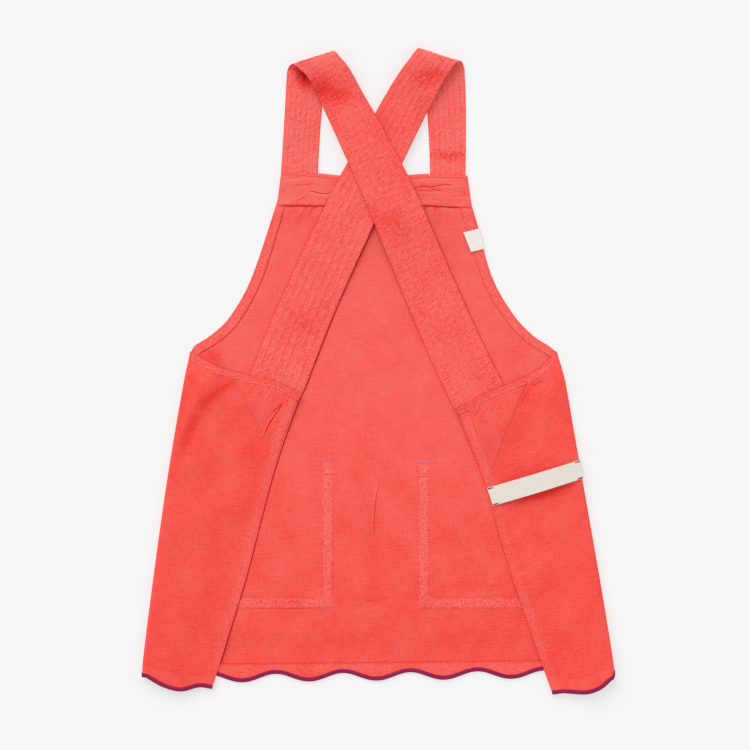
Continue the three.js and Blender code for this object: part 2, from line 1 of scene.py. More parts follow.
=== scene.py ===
# %% [markdown]
# # A cross-back smock, laid flat
# A coral smock lies on a pale surface with its back upwards, and the camera looks straight down on it.
# The packed part gives its size and place. Each soft solid is replaced here by thin cloth: a flat grid
# whose points are moved to where the cloth lies, with its gathers and creases, and then given a thickness.

import bmesh
import bpy
import numpy as np
from mathutils import Matrix, Vector


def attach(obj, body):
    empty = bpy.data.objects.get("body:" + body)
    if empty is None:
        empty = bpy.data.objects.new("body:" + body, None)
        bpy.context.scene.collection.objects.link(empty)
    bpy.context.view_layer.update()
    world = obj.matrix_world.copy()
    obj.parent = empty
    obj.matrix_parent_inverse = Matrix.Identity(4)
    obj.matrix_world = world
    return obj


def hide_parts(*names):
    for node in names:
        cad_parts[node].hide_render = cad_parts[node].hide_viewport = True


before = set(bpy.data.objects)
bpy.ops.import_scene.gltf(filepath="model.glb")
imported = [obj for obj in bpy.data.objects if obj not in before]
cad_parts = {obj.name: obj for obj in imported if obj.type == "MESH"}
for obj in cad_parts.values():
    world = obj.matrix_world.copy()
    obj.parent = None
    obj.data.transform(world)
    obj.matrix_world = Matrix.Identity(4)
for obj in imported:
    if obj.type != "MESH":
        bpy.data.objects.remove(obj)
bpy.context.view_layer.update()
MM = 0.001
print("nodes in the frame:", len(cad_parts))

# %% [markdown]
# ## Curves and waves
# Cloth edges are smooth curves through a few measured places, so one helper reads a value between the rows
# of a small table. A second helper gives soft random heights: a sum of long sine waves in many directions
# is smooth at any resolution and, with a fixed seed, the same each time the script runs. The short ones at
# the end measure along lines, for creases, straps and stitches.


# %% Curves and waves
def lerp(a, b, share):
    return a + (b - a) * share


def smooth(at, low, high):
    share = np.clip((at - low) / (high - low), 0, 1)
    return share * share * (3 - 2 * share)


def curve(rows, at, column=1):
    """One column of a table at places between its rows, on a smooth curve through them."""
    keys, values = np.array(rows, float)[:, [0, column]].T
    row = np.arange(len(keys))
    before, after = np.maximum(row - 1, 0), np.minimum(row + 1, len(keys) - 1)
    slopes = (values[after] - values[before]) / (keys[after] - keys[before])
    at = np.clip(at, keys[0], keys[-1])
    low = np.clip(np.searchsorted(keys, at) - 1, 0, len(keys) - 2)
    span = keys[low + 1] - keys[low]
    share = (at - keys[low]) / span
    bend = share * (1 - share) * span * (slopes[low] * (1 - share) - slopes[low + 1] * share)
    return lerp(values[low], values[low + 1], share * share * (3 - 2 * share)) + bend


def waves(x, y, size, seed):
    """Smooth random heights, mostly from -1 to 1, with bumps about this far apart."""
    chance = np.random.default_rng(seed)
    total = 0
    for _ in range(10):
        angle, phase = chance.uniform(0, 2 * np.pi, 2)
        length = size * chance.uniform(0.7, 1.7)
        total = total + np.sin(2 * np.pi * (x * np.cos(angle) + y * np.sin(angle)) / length + phase)
    return total / 3


def gathers(along, across, pitch, reach, seed):
    """Small ridges that cross a seam, an uneven pitch apart, and die away from it."""
    flat = np.zeros_like(along)
    wander = waves(along, flat, 5 * pitch, seed)
    strength = 0.65 + 0.35 * waves(along, flat, 3 * pitch, seed + 1)
    turn = 2 * np.pi * (along + 0.6 * across) / pitch + 2.2 * wander
    return np.exp(-((across / reach) ** 2)) * strength * np.sin(turn)


def table(*columns):
    """Columns side by side, where a single number fills its whole column."""
    return np.stack(np.broadcast_arrays(*columns), -1)


def run_lengths(points):
    """How far along a line each of its points is."""
    return np.concatenate([[0], np.cumsum(np.linalg.norm(np.diff(points, axis=0), axis=1))])


def along_line(at, lengths, points):
    """Points at these lengths along a line."""
    return table(*(np.interp(at, lengths, column) for column in np.transpose(points)))


def unit(vectors):
    """The same directions, each one long."""
    return vectors / np.linalg.norm(vectors, axis=-1, keepdims=True)


print("a table read half way:", float(curve([(0, 0.0), (1, 4.0), (2, 6.0)], 0.5)))

# %% [markdown]
# ## How the cloth lies
# One cloth makes the front and both back wings. The front is nearly flat; at each side the cloth turns over
# in a half round fold and comes back as a wing. A cloth simulation could fold it, but would only come near the
# lines of the photograph. So each of the three gets a function from a place on the cloth to a point in
# millimetres, and every trim and every stitch can ask where the cloth is.

# %% Sizes of the front
# All in millimetres. Thickness of cloth and trims, and the gap between pieces, as the packed part has them
CLOTH, TRIM, GAP = 1.2, 1.0, 0.3
CORNER_Y, HEM_Y, BIB_TOP = 28.0, -425.2, 246.0
# The hem's slope, the top of its facing, and the lip below the facing with the height that it rises to
HEM_SLOPE, HEM_FACING_TOP, HEM_LIP, HEM_REST = 0.013, -405.0, 4.6, 1.19
SCALLOP_PITCH, SCALLOP_DEPTH, SCALLOP_LOW = 94.2, 5.6, -2.7
# The hem drops a little towards its right corner: how far, and between which places
CORNER_DROP, CORNER_SPAN = 4.1, (296, 326)
LEFT, RIGHT = -1, 1
SIDES = {LEFT: "left", RIGHT: "right"}
# A place up the smock, and the outline's x there on the left and on the right
SIDE_FOLDS = [
    (-424, -330.6, 330.0), (-404, -329.7, 328.3), (-292, -315.7, 310.1), (-180, -300.3, 290.5),
    (-96, -287.0, 275.8), (-12, -272.3, 261.1), (28, -264.0, 250.0),
]
ARMHOLES = [
    (28, -264.0, 250.0), (36, -257.8, 238.5), (47, -240.0, 220.5), (64, -219.0, 202.0), (81, -205.0, 188.0),
    (114, -185.5, 167.5), (148, -171.5, 153.5), (198, -154.7, 140.7), (246, -139.5, 126.5),
]
BAND_LOW, BAND_HIGH, BAND_HEIGHT = 231.0, 277.5, 5.0
POCKET_WIDTH, POCKET_HEIGHT, POCKET_TOP, POCKET_CORNER = 175.0, 205.0, -126.0, 14.0
POCKET_LOW = POCKET_TOP - POCKET_HEIGHT
POCKET_LEFT_X = {LEFT: -62.3 - POCKET_WIDTH, RIGHT: 53.9}
# A pocket's double seam: its middle's distance from the edge, its half width, and its drop at the bottom
SEAM_MIDDLE, SEAM_HALF, SEAM_DROP = 9.4, 5.95, 2.6
TAB_LOW, TAB_HIGH = 171.5, 200.0
print("width at the hem, in mm:", SIDE_FOLDS[0][2] - SIDE_FOLDS[0][1])


# %% Where the front lies
def edge_x(y, side):
    """The outline seen from above: the side fold, or above it the armhole's edge."""
    column = 1 if side == LEFT else 2
    return np.where(y < CORNER_Y, curve(SIDE_FOLDS, y, column), curve(ARMHOLES, y, column))


def outside(at, low, high):
    return np.maximum(np.maximum(low - at, at - high), 0)


def hem_wave(x):
    scallops = SCALLOP_DEPTH * np.cos(2 * np.pi * (x - SCALLOP_LOW) / SCALLOP_PITCH)
    return HEM_SLOPE * x - scallops - CORNER_DROP * smooth(x, *CORNER_SPAN)


def panel_height(x, y):
    """Height of the cloth's middle: it rises over the pockets, the tab and the hem, and into the band."""
    rise = (BAND_HEIGHT / 2 - CLOTH / 2) * smooth(y, 198, BAND_LOW - 2)
    for left in POCKET_LEFT_X.values():
        beside = outside(x, left - 36, left + POCKET_WIDTH + 36)
        beyond = outside(y, POCKET_LOW - 30, POCKET_TOP + 30)
        rise = np.maximum(rise, (TRIM + GAP) * (1 - smooth(np.hypot(beside, beyond), 0, 28)))
    beside_tab = np.maximum(outside(y, TAB_LOW - 14, TAB_HIGH + 14) / 14, (edge_x(y, RIGHT) - x - 34) / 12)
    rise = np.maximum(rise, (TRIM + GAP) * (1 - np.clip(beside_tab, 0, 1)))
    to_lip = (HEM_FACING_TOP - y) / (HEM_FACING_TOP - (HEM_Y + hem_wave(x) + HEM_LIP))
    return CLOTH / 2 + np.maximum(rise, HEM_REST * np.clip(to_lip, 0, 1))


print("height over a pocket, in mm:", float(panel_height(np.array(-150.0), np.array(-230.0))))

# %% [markdown]
# ## What sewing does to the front
# Stitches shorten the cloth beside them, so it stands in small ridges along each seam. A simulation with shrunk
# seams would find such ridges too, but here their size and place can be set to those of the photograph.


# %% Relief of the front
def pocket_depth(x, y, side):
    """How far a place lies inside a pocket's sides and its bottom, and 1 below the opening."""
    left = POCKET_LEFT_X[side]
    sides = np.minimum(x - left, left + POCKET_WIDTH - x)
    bottom = y - POCKET_LOW + SEAM_DROP
    return sides, bottom, 1 - smooth(y, POCKET_TOP - 1, POCKET_TOP + 3)


def front_relief(x, y):
    """What sewing and lying do to the front: slow swells, gathers under the band, puckers at the pockets."""
    by_tab = np.hypot(outside(x, 118, 200), outside(y, TAB_LOW - 4, TAB_HIGH + 4))
    calm = smooth(by_tab, 0, 25) * (1 - 0.75 * smooth(y, 214, 229))
    relief = (0.28 * (1 + waves(x, y, 95, 3)) + 0.1 * waves(x, y, 26, 4)) * calm
    under_band = smooth(y, 186, 218) * (1 - 0.85 * smooth(y, 221, 230))
    under_band = under_band * (0.55 + 0.45 * waves(x, x * 0, 60, 5))
    gathered = 1 + np.sin(2 * np.pi * x / 15 + 2.5 * waves(x, y * 0.15, 48, 6))
    relief = relief + 0.75 * under_band * gathered
    for side in SIDES:
        sides, bottom, below = pocket_depth(x, y, side)
        depth, along = np.minimum(sides, bottom), np.where(bottom < sides, x, y)
        relief = relief + 0.3 * below * gathers(along, depth - SEAM_MIDDLE, 11, 11, 7 + side)
        relief = relief + 0.35 * below * np.exp(-(((depth - SEAM_MIDDLE) / 5.5) ** 4))
    hem = y - (HEM_Y + hem_wave(x))
    relief = relief + 0.22 * gathers(x, hem - 13, 11, 11, 11)
    return np.maximum(relief, 0)


def front_height(x, y):
    return panel_height(x, y) + front_relief(x, y)


def down_wing(y):
    """How far down from the side corner (0) to the hem (1) a row is."""
    return np.clip((CORNER_Y - y) / (CORNER_Y - HEM_Y), 0, 1)


def fold_radius(y):
    """Radius of the side fold, which opens from the pinched corner down to the hem."""
    return lerp(3.0, 6.0, down_wing(y) ** 1.5) * lerp(0.3, 1, smooth(down_wing(y), 0, 0.08))


def panel_edge(y, side):
    """Where the flat front ends: at the start of the side fold, or above it at the armhole's edge."""
    inset = (fold_radius(y) + CLOTH / 2) * (1 - smooth(y, CORNER_Y, CORNER_Y + 12))
    return edge_x(y, side) - side * inset


def panel(share, y):
    """A point of the front, from its left side (0) to its right side (1), in the row of the given height."""
    x = lerp(panel_edge(y, LEFT), panel_edge(y, RIGHT), share)
    y = y + hem_wave(x) * (1 - smooth(y, HEM_Y + 2, HEM_FACING_TOP))
    return table(x, y, front_height(x, y))


middle = panel(np.array([0.0, 0.5, 1.0]), np.full(3, -100.0))
print("the front at one height, in mm:", middle.round(1).tolist())

# %% [markdown]
# ## Outlines of the wings
# A wing has four corners. Two of them are on the fold, and its sides bow between the corners. Curves drawn by
# hand would do, but a small table for each side keeps the measured places in view.

# %% Outlines of the wings
# A wing's inner corners, and how far its top, its hem and its inner edge bow, by share of their lengths
INNER_TOP = {LEFT: (-107.8, -31.5), RIGHT: (108.6, -52.0)}
INNER_HEM = {LEFT: (-232.4, -442.0), RIGHT: (242.9, -449.8)}
TOP_SAG = {
    LEFT: [(0, 0), (0.24, 6.7), (0.54, 1.9), (0.81, -4.0), (1, 0)],
    RIGHT: [(0, 0), (0.16, 10.6), (0.32, 10.4), (0.5, 6.6), (0.7, 2.3), (1, 0)],
}
HEM_SAG = {
    LEFT: [(0, 0), (0.27, 9.5), (0.53, 11), (0.8, 1), (1, 0)],
    RIGHT: [(0, 0), (0.13, 7.2), (0.25, 10.4), (0.37, 11.2), (0.49, 9.6), (0.66, 5.4), (0.81, 1.9), (1, 0)],
}
# How fast a scallop dies away above the hem, and how far the hem sags on a side fold
HEM_CUT = 32
FOLD_SAG = {LEFT: 0.0, RIGHT: 10.0}
INNER_BOW = {
    LEFT: [
        (0, 0), (0.04, -2.4), (0.12, -4.0), (0.2, -5.2), (0.27, -5.7), (0.43, -3.2), (0.59, 0), (0.67, 0.6),
        (1, 0),
    ],
    RIGHT: [
        (0, 0), (0.12, 2.0), (0.2, 3.8), (0.28, 4.7), (0.36, 2.8), (0.44, 0.6), (0.52, -1.1), (0.76, -1.4),
        (1, 0),
    ],
}
# Height of the inner edge
INNER_LIFT = [(0, 5.2), (0.08, 4.9), (0.22, 3.3), (0.6, 3.2), (0.9, 4.2), (1, 5.4)]
WING_LENGTH = CORNER_Y - HEM_Y
print("a wing's length, in mm:", WING_LENGTH)

# %% [markdown]
# ## Creases of the wings
# The wings were folded over and never pressed. Their broad folds are soft ridges and valleys, each given by its
# two ends, with painted shade in the deeper folds, and their sharp creases are lines that the finish paints as
# shade. Sculpting could show the same, but tables can be measured against the photograph and corrected.

# %% Creases of the wings
# Soft ridges on the wings: the two ends seen from above, the half width and the height
SWELLS = {
    LEFT: [
        (-226, -2, -300, -96, 12, 5.0), (-206, -30, -292, -130, 11, -1.8), (-165, -130, -238, -228, 24, 2.0),
        (-130, -46, -158, -92, 3.2, 1.2), (-141, -50, -156, -80, 3.0, -0.8), (-124, -40, -128, -54, 3.0, 0.7),
        (-232, -170, -292, -245, 20, 1.2), (-215, -300, -300, -340, 26, 1.2),
    ],
    RIGHT: [
        (236, -6, 262, -60, 13, 2.4), (214, -19, 196, -50, 5, -1.6), (170, -230, 268, -300, 28, 1.4),
        (205, -330, 300, -372, 26, 1.2), (128, -70, 166, -108, 4.5, 1.2), (140, -62, 176, -80, 4, 0.8),
    ],
}
# Painted shade where folds keep the light out: the same, with a change of tone
WING_FOLD_SHADE = {
    LEFT: [
        (-206, -15, -247, -47, 6.5, -0.75), (-257, -70, -279, -116, 8, -0.65),
        (-243, -44, -260, -74, 8, -0.3), (-172, -96, -186, -130, 16, -0.25), (-148, -62, -158, -84, 5, -0.3),
    ],
    RIGHT: [
        (214, -19, 198, -46, 7, -0.45), (170, -110, 215, -190, 26, -0.2), (212, -24, 230, -11, 5, -0.3),
        (203, -179, 267, -159, 7, -0.9),
    ],
}
# The fold line of a wing's hem, seen from above
WING_HEM = {
    LEFT: [(-330, -409), (-307, -414.4), (-279, -420.7), (-251, -424.9), (-235, -425.5)],
    RIGHT: [
        (250, -428.2), (264, -429.2), (278, -427.6), (292, -424.6), (306, -417), (320, -413), (330, -410.5),
    ],
}
# Sharp creases, drawn only as painted shade lines: how deep each is, and the places that it runs through
WING_CREASE_SHADE = {
    LEFT: [
        (0.08, *WING_HEM[LEFT]), (1.0, (-133, -42), (-140, -55), (-152, -71), (-161, -91)),
        (0.7, (-138, -43), (-142, -51), (-150, -57)),
        (0.5, (-126, -37), (-129, -48)), (0.4, (-150, -30), (-155, -38)), (0.4, (-163, -27), (-169, -35)),
        (0.4, (-176, -24), (-183, -32)), (0.5, (-208, -16), (-222, -25)),
    ],
    RIGHT: [
        (0.1, *WING_HEM[RIGHT]), (0.25, (214, -20), (206, -33), (196, -50)),
        (0.4, (132, -74), (139, -90)), (0.45, (134, -61), (140, -54)),
        (0.45, (147, -59), (154, -51)), (0.4, (157, -56), (163, -49)), (0.35, (167, -54), (173, -46)),
        (0.4, (212, -24), (228, -12)),
    ],
}


def from_line(x, y, x0, y0, x1, y1):
    """Where along a straight line the nearest place is (0 to 1), and how far away it is."""
    dx, dy = x1 - x0, y1 - y0
    share = np.clip(((x - x0) * dx + (y - y0) * dy) / (dx * dx + dy * dy), 0, 1)
    return share, np.hypot(x - x0 - share * dx, y - y0 - share * dy)


def swell(x, y, rows):
    """The sum of soft ridges and valleys, each of them lower towards its ends."""
    total = 0
    for *line, width, height in rows:
        share, away = from_line(x, y, *line)
        ends = np.sin(np.pi * np.clip(share, 0.12, 0.88)) ** 0.5
        total = total + height * np.exp(-((away / width) ** 2)) * ends
    return total


def crease_lines(x, y, lines):
    """Signed distance from the nearest painted shade line in mm, and how deep it is painted there (0 away from
    every line).
    """
    nearest, field = np.full(len(x), 99.0), np.zeros((len(x), 3))
    for depth, *places in lines:
        run = run_lengths(places)
        fade = min(8, 0.3 * run[-1])
        for (x0, y0), (x1, y1), start, end in zip(places, places[1:], run, run[1:]):
            share, away = from_line(x, y, x0, y0, x1, y1)
            along = lerp(start, end, share)
            ends = smooth(along, -1, fade) * (1 - smooth(along, run[-1] - fade, run[-1] + 1))
            signed = np.copysign(away, (x - x0) * (y1 - y0) - (y - y0) * (x1 - x0))
            here = table(signed, depth * ends * (1 - smooth(away, 3, 5)), 0)
            field = np.where((away < nearest)[:, None], here, field)
            nearest = np.minimum(nearest, away)
    return field


for side, name in SIDES.items():
    print(name, "wing:", len(SWELLS[side]), "swells and", len(WING_CREASE_SHADE[side]), "creases")

# %% [markdown]
# ## The folds and the wings
# A side fold is half a tube that opens towards the hem. Each row of a wing then runs straight from the end
# of the fold to the wing's inner edge, so the outline follows from a few corners and bows, and the relief of
# creases, doubled hems and gathers is added on top.


# %% Where the folds and the wings lie
def fold(side, angle, y):
    """A point of the side fold: angle 0 is on the front, and a half turn later the wing starts."""
    start = panel(np.full_like(y, 0.0 if side == LEFT else 1.0), y)
    radius = fold_radius(start[..., 1])
    start[..., 1] -= FOLD_SAG[side] * down_wing(y) ** HEM_CUT * ((1 - np.cos(angle)) / 2) ** 2
    start[..., 0] += side * radius * np.sin(angle)
    start[..., 2] += radius * (1 - np.cos(angle))
    return start


def wing_width(side, t):
    """Width of a wing's row from the fold to its inner edge."""
    return np.abs(lerp(INNER_TOP[side][0], INNER_HEM[side][0], t) - edge_x(lerp(CORNER_Y, HEM_Y, t), side))


def from_hems(side, s, t):
    """How far a place on a wing is from the inner edge and from the top edge."""
    return (1 - s) * wing_width(side, t), t * WING_LENGTH


def wing_relief(side, s, t, x, y):
    """Swells, the doubled hems along the top and inner edges, and the gathers that their stitches pull."""
    (from_edge, from_top), from_hem = from_hems(side, s, t), (1 - t) * WING_LENGTH
    relief = 0.35 * waves(x, y, 90, 21 + side) * smooth(from_top, 0, 40) + swell(x, y, SWELLS[side])
    doubled = np.maximum(1 - smooth(from_edge, 12.5, 15), 1 - smooth(from_top, 12, 15))
    relief = relief + 0.5 * doubled
    relief = relief + 0.3 * gathers(y, from_edge - 7, 9.5, 8, 31 + side)
    relief = relief + 0.36 * gathers(x, from_top - 8, 10, 9, 35 + side)
    relief = relief + 0.3 * gathers(x, from_hem - 12, 12, 12, 39 + side)
    return np.maximum(relief, -0.9)


def wing(side, s, y):
    """A point of a wing, from the fold (0) to its inner edge (1), in the row that starts at this height."""
    top = fold(side, np.full_like(y, np.pi), y)
    t = down_wing(y)
    inner_x = lerp(INNER_TOP[side][0], INNER_HEM[side][0], t) + curve(INNER_BOW[side], t)
    inner_y = lerp(INNER_TOP[side][1], INNER_HEM[side][1], t)
    x = lerp(top[..., 0], inner_x, s)
    sag = (1 - t) * curve(TOP_SAG[side], s) + t**HEM_CUT * curve(HEM_SAG[side], s)
    y = lerp(top[..., 1], inner_y, s) - sag
    z = lerp(top[..., 2], curve(INNER_LIFT, t), smooth(s, 0, 1))
    return table(x, y, z + wing_relief(side, s, t, x, y) * smooth(s, 0, 0.12))


for side, name in SIDES.items():
    corner = wing(side, np.array([1.0]), np.array([CORNER_Y]))[0]
    print(name, "wing's top inner corner, in mm:", corner.round(1).tolist())

# %% [markdown]
# ## The straps' way
# A strap is known by its two edges at a few places on its way from the band over the shoulder to the wing. A
# curve with a profile could be swept along it, but the strap's width changes and it turns over, so smooth lines
# through both edges are joined by a half round roll and then stepped along evenly.

# %% Where the straps lie
# Both edges of a strap at some places (x and y twice, and the height): first from the band up to the
# shoulder, then behind the shoulder and down to the wing
STRAP_LAY = {
    LEFT: (
        [
            (-137.0, 259, -85.4, 259, 2.5), (-136.5, 278, -84.7, 278, 2.5), (-134.4, 312, -83.3, 312, 1.2),
            (-131.0, 370, -78.0, 378, 1.2), (-128.2, 420.5, -65.4, 441.0, 1.2),
        ],
        [
            (-113.5, 424.5, -56.8, 442.4, 14.2), (-97.3, 408, -41.5, 424, 13.4),
            (-76.3, 366, -23.0, 391.5, 9.4), (-52.0, 313, 4.0, 344, 9.3), (-19.0, 238.1, 41.8, 272.9, 9.3),
            (3.2, 183.9, 65.4, 221.7, 9.2), (33.4, 109.6, 99.1, 144.1, 4.2), (73.0, 16.7, 142.5, 48.1, 2.7),
            (106.4, -53.5, 175.8, -19.6, 2.7), (118.5, -67, 183.0, -36.5, 2.7),
        ],
    ),
    RIGHT: (
        [
            (122.5, 259, 72.1, 259, 2.5), (121.8, 278, 72.1, 278, 2.5), (122.3, 312, 71.4, 312, 1.2),
            (122.5, 370, 67.0, 378, 1.2), (120.5, 424.5, 58.4, 444.0, 1.2),
        ],
        [
            (106.7, 429, 50.8, 446.4, 14.2), (90.0, 404, 31.0, 420, 12.2), (69.3, 364.7, 11.2, 389, 7.8),
            (41.0, 307, -16.0, 341, 6.5), (4.6, 230.2, -57.9, 265.9, 6.5), (-20.2, 176.1, -85.3, 210.6, 6.4),
            (-51.2, 107.6, -118.4, 142.6, 3.6), (-79.1, 39.5, -152.7, 65.6, 2.7),
            (-103.4, -23.5, -179.1, -1, 2.7), (-115.0, -45.4, -186.0, -26, 2.7),
        ],
    ),
}
# Radius of the roll at the shoulder, the lowest that a strap's middle lies, and the rows of a strap's grid
ROLL, STRAP_REST = 6.5, 1.2
STRAP_ROWS = 460


def strap_stations(side):
    """The strap's two edges as it lies, at even steps of length from the band to the wing."""
    runs = []
    for sections in STRAP_LAY[side]:
        numbered = [(number, *section) for number, section in enumerate(sections)]
        at = np.linspace(0, len(sections) - 1, 24 * len(sections))
        runs.append(table(*(curve(numbered, at, column) for column in range(1, 6))))
    start, end = runs[0][-1], runs[1][0]
    share = np.linspace(0, 1, 34)[1:-1, None]
    beyond = unit(np.array([start[1] - start[3], start[2] - start[0]]) * -side)
    roll = lerp(start, end, share)
    roll[:, :4] += ROLL * np.sin(np.pi * share) * np.tile(beyond, 2)
    roll[:, 4] = start[4] + ROLL * (1 - np.cos(np.pi * share[:, 0]))
    rows = np.concatenate([runs[0], roll, runs[1]])
    edges = np.stack([rows[:, [0, 1, 4]], rows[:, [2, 3, 4]]], 1)
    edges[..., 2] = np.maximum(edges[..., 2], STRAP_REST)
    length = run_lengths(edges.mean(1))
    keep = np.concatenate([[True], np.diff(length) > 1e-6])
    even = np.linspace(0, length[-1], STRAP_ROWS + 1)
    return even, np.stack([along_line(even, length[keep], edge) for edge in edges[keep].transpose(1, 0, 2)])


print("a strap's length as it lies, in mm:", round(float(strap_stations(LEFT)[0][-1])))

# %% [markdown]
# ## From a flat grid to cloth
# Every sheet starts as a flat grid. A lay function moves its points and also says, for each point, where it
# was on the flat cloth (its grain, which the weave follows) and how much lighter or darker its colour is
# painted:
# painted light on doubled hems and rims, painted shade in folds, towards the hem and at edges. Beside a seam it
# also says how far along and away from the stitches a point is, for the seam's fine puckers, and beside a
# painted shade line, in a crease or beside a piece that lies on the cloth, how far away and how deep that is.
# The last cell at each border is made narrow, so that the rounded shading of the edge stays narrow too.


# %% Cloth from a grid
def edged(share, cells, length, lip=0.8):
    """Moves the second and the last but one line of a grid close to its borders."""
    step = 1 / cells
    near = lip / length
    share = np.where(np.isclose(share, step), near, share)
    return np.where(np.isclose(share, 1 - step), 1 - near, share)


# Painted shade on the rim of an edge, darker than its cloth, and a painted highlight on a rim that faces the
# light
EDGE_SHADE, RIM_HIGHLIGHT = -1.6, 0.3


def add_grid(bm, columns, rows, lay, edge_tone=EDGE_SHADE):
    """Adds a flat grid, moves its points to where the lay function puts them, and stores what that says."""
    vectors, numbers = bm.verts.layers.float_vector, bm.verts.layers.float
    names = ("grain", "seam", "crease")
    grain_layer, seam_layer, crease_layer = [vectors.get(name) or vectors.new(name) for name in names]
    tone_layer = numbers.get("tone") or numbers.new("tone")
    made = bmesh.ops.create_grid(bm, x_segments=columns, y_segments=rows, size=0.5)["verts"]
    flat = np.array([vert.co.xy for vert in made]) + 0.5
    none = np.zeros((len(made), 3))
    places, grain, tone, seams, creases, *_ = (*lay(flat[:, 0], flat[:, 1]), none, none)
    border = np.any((flat < 1e-4) | (flat > 1 - 1e-4), axis=1)
    # Painted shade along the grid's border
    tones = np.where(border, tone + edge_tone, tone)
    for vert, place, (u, v), light, sewn, crease in zip(
        made, places * MM, grain * MM, tones, seams, creases
    ):
        vert.co = place
        vert[grain_layer] = (u, v, 0)
        vert[seam_layer] = sewn
        vert[crease_layer] = crease
        vert[tone_layer] = light
    return made


def new_object(name, bm, material):
    mesh = bpy.data.meshes.new(name)
    bm.to_mesh(mesh)
    bm.free()
    mesh.materials.append(material)
    mesh.shade_smooth()
    made = bpy.data.objects.new(name, mesh)
    bpy.context.collection.objects.link(made)
    return made


def finish_sheet(name, bm, thickness, material, nodes, slot):
    """Makes the laid grids a thick sheet that stands for some nodes of the packed part."""
    bmesh.ops.recalc_face_normals(bm, faces=bm.faces)
    sheet = new_object(name, bm, material)
    wall = sheet.modifiers.new("thickness", "SOLIDIFY")
    wall.thickness, wall.offset = thickness * MM, 0
    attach(sheet, "root")
    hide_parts(*nodes)
    print(f"{name}: {len(sheet.data.polygons)} cells, {thickness} mm thick")
    return sheet


def grid_sheet(name, cells, lay, edge_tone, *finish):
    """A sheet of one grid, with its cells across and up; the rest is as for any sheet."""
    bm = bmesh.new()
    add_grid(bm, *cells, lay, edge_tone)
    return finish_sheet(name, bm, *finish)


print("five lines of a grid 100 mm wide:", edged(np.linspace(0, 1, 5), 4, 100).tolist())

# %% [markdown]
# ## Finishes
# The smock is a matt, slightly slubbed plain weave, dyed coral after sewing; its doubled edges are painted a
# little paler, as painted light. The finishes are sums over the grain of the cloth. Nodes could be placed and
# linked one by one, but a small class with the signs of arithmetic lets such sums be read and written as sums.


# %% A class for sums over a surface
class Wire:
    """A socket of a material's nodes. Sums of wires and numbers add Math nodes."""

    def __init__(self, tree, socket=None):
        self.tree, self.socket = tree, socket

    def node(self, kind, settings=None, sockets=None, out=0):
        made = self.tree.nodes.new(kind)
        for name, value in (settings or {}).items():
            setattr(made, name, value)
        for name, value in (sockets or {}).items():
            if isinstance(value, Wire):
                self.tree.links.new(value.socket, made.inputs[name])
            else:
                made.inputs[name].default_value = value
        return Wire(self.tree, made.outputs[out])

    def sum(self, operation, first, second=0.0):
        return self.node("ShaderNodeMath", {"operation": operation}, {0: first, 1: second})

    def __add__(self, other):
        return self.sum("ADD", self, other)

    def __sub__(self, other):
        return self.sum("SUBTRACT", self, other)

    def __rsub__(self, other):
        return self.sum("SUBTRACT", other, self)

    def __mul__(self, other):
        return self.sum("MULTIPLY", self, other)

    __radd__, __rmul__ = __add__, __mul__

    def sine(self):
        return self.sum("SINE", self)

    def cosine(self):
        return self.sum("COSINE", self)

    def size(self):
        return self.sum("ABSOLUTE", self)

    def held(self):
        return self.node("ShaderNodeClamp", {}, {"Value": self})

    def split(self):
        parts = self.node("ShaderNodeSeparateXYZ", {}, {"Vector": self}).socket.node.outputs
        return [Wire(self.tree, part) for part in parts]


print("a wire can give:", [name for name in vars(Wire) if not name.startswith("_")])

# %% [markdown]
# ## Helpers for finishes
# Each finish is a Principled shader. Its constants are set on its sockets, and sums are linked to the others.


# %% Helpers for finishes
def new_finish(name, **constants):
    material = bpy.data.materials.new(name)
    material.use_nodes = True
    shader = material.node_tree.nodes["Principled BSDF"]
    for socket, value in constants.items():
        shader.inputs[socket.replace("_", " ")].default_value = value
    return material, shader, Wire(material.node_tree)


def paint(shader, socket, wire):
    wire.tree.links.new(wire.socket, shader.inputs[socket])


def emboss(shader, height, strength, distance):
    """A fine relief over the surface, from its height in units of the distance."""
    relief = {"Strength": strength, "Distance": distance, "Height": height}
    paint(shader, "Normal", height.node("ShaderNodeBump", {}, relief))


def attribute(wire, name, out=1):
    """What the points of a sheet carry under this name: a vector, or from output 2 a number."""
    return wire.node("ShaderNodeAttribute", {"attribute_name": name}, out=out)


def blend(wire, first, second, factor):
    return wire.node("ShaderNodeMix", {"data_type": "RGBA"}, {0: factor, 6: first, 7: second}, out=2)


def noise(wire, vector, scale, detail=2.0):
    """Soft noise over the flat cloth, with one scale across and one along it, in bumps for each metre."""
    spread = wire.node("ShaderNodeVectorMath", {"operation": "MULTIPLY"}, {0: vector, 1: (*scale, 1.0)})
    return wire.node("ShaderNodeTexNoise", {}, {"Vector": spread, "Scale": 1.0, "Detail": detail})


def dye_and_shade(wire, shade, deep, pale, factor):
    """From the painted shade of creases, shadow lines and edges (below 0) over the deep colour (0) to the pale
    one (1).
    """
    return blend(wire, shade, blend(wire, deep, pale, factor.held()), (1 + factor).held())


def linear(red, green, blue):
    """A display colour from 0 to 255 as the light that a shader works with."""
    parts = np.array([red, green, blue]) / 255
    lit = np.where(parts <= 0.04045, parts / 12.92, ((parts + 0.055) / 1.055) ** 2.4)
    return (*map(float, lit), 1.0)


print("a middle grey as light:", round(linear(128, 128, 128)[0], 3))


# %% [markdown]
# ## Coral cloth
# A plain weave needs three things at this distance: threads that are thicker in places (long thin streaks
# both ways), a slow cloudiness from garment dyeing, and a fine relief of crossing threads for close views.


# %% Coral cloth
# Length of a drawn stitch, in mm
STITCH = 3.1


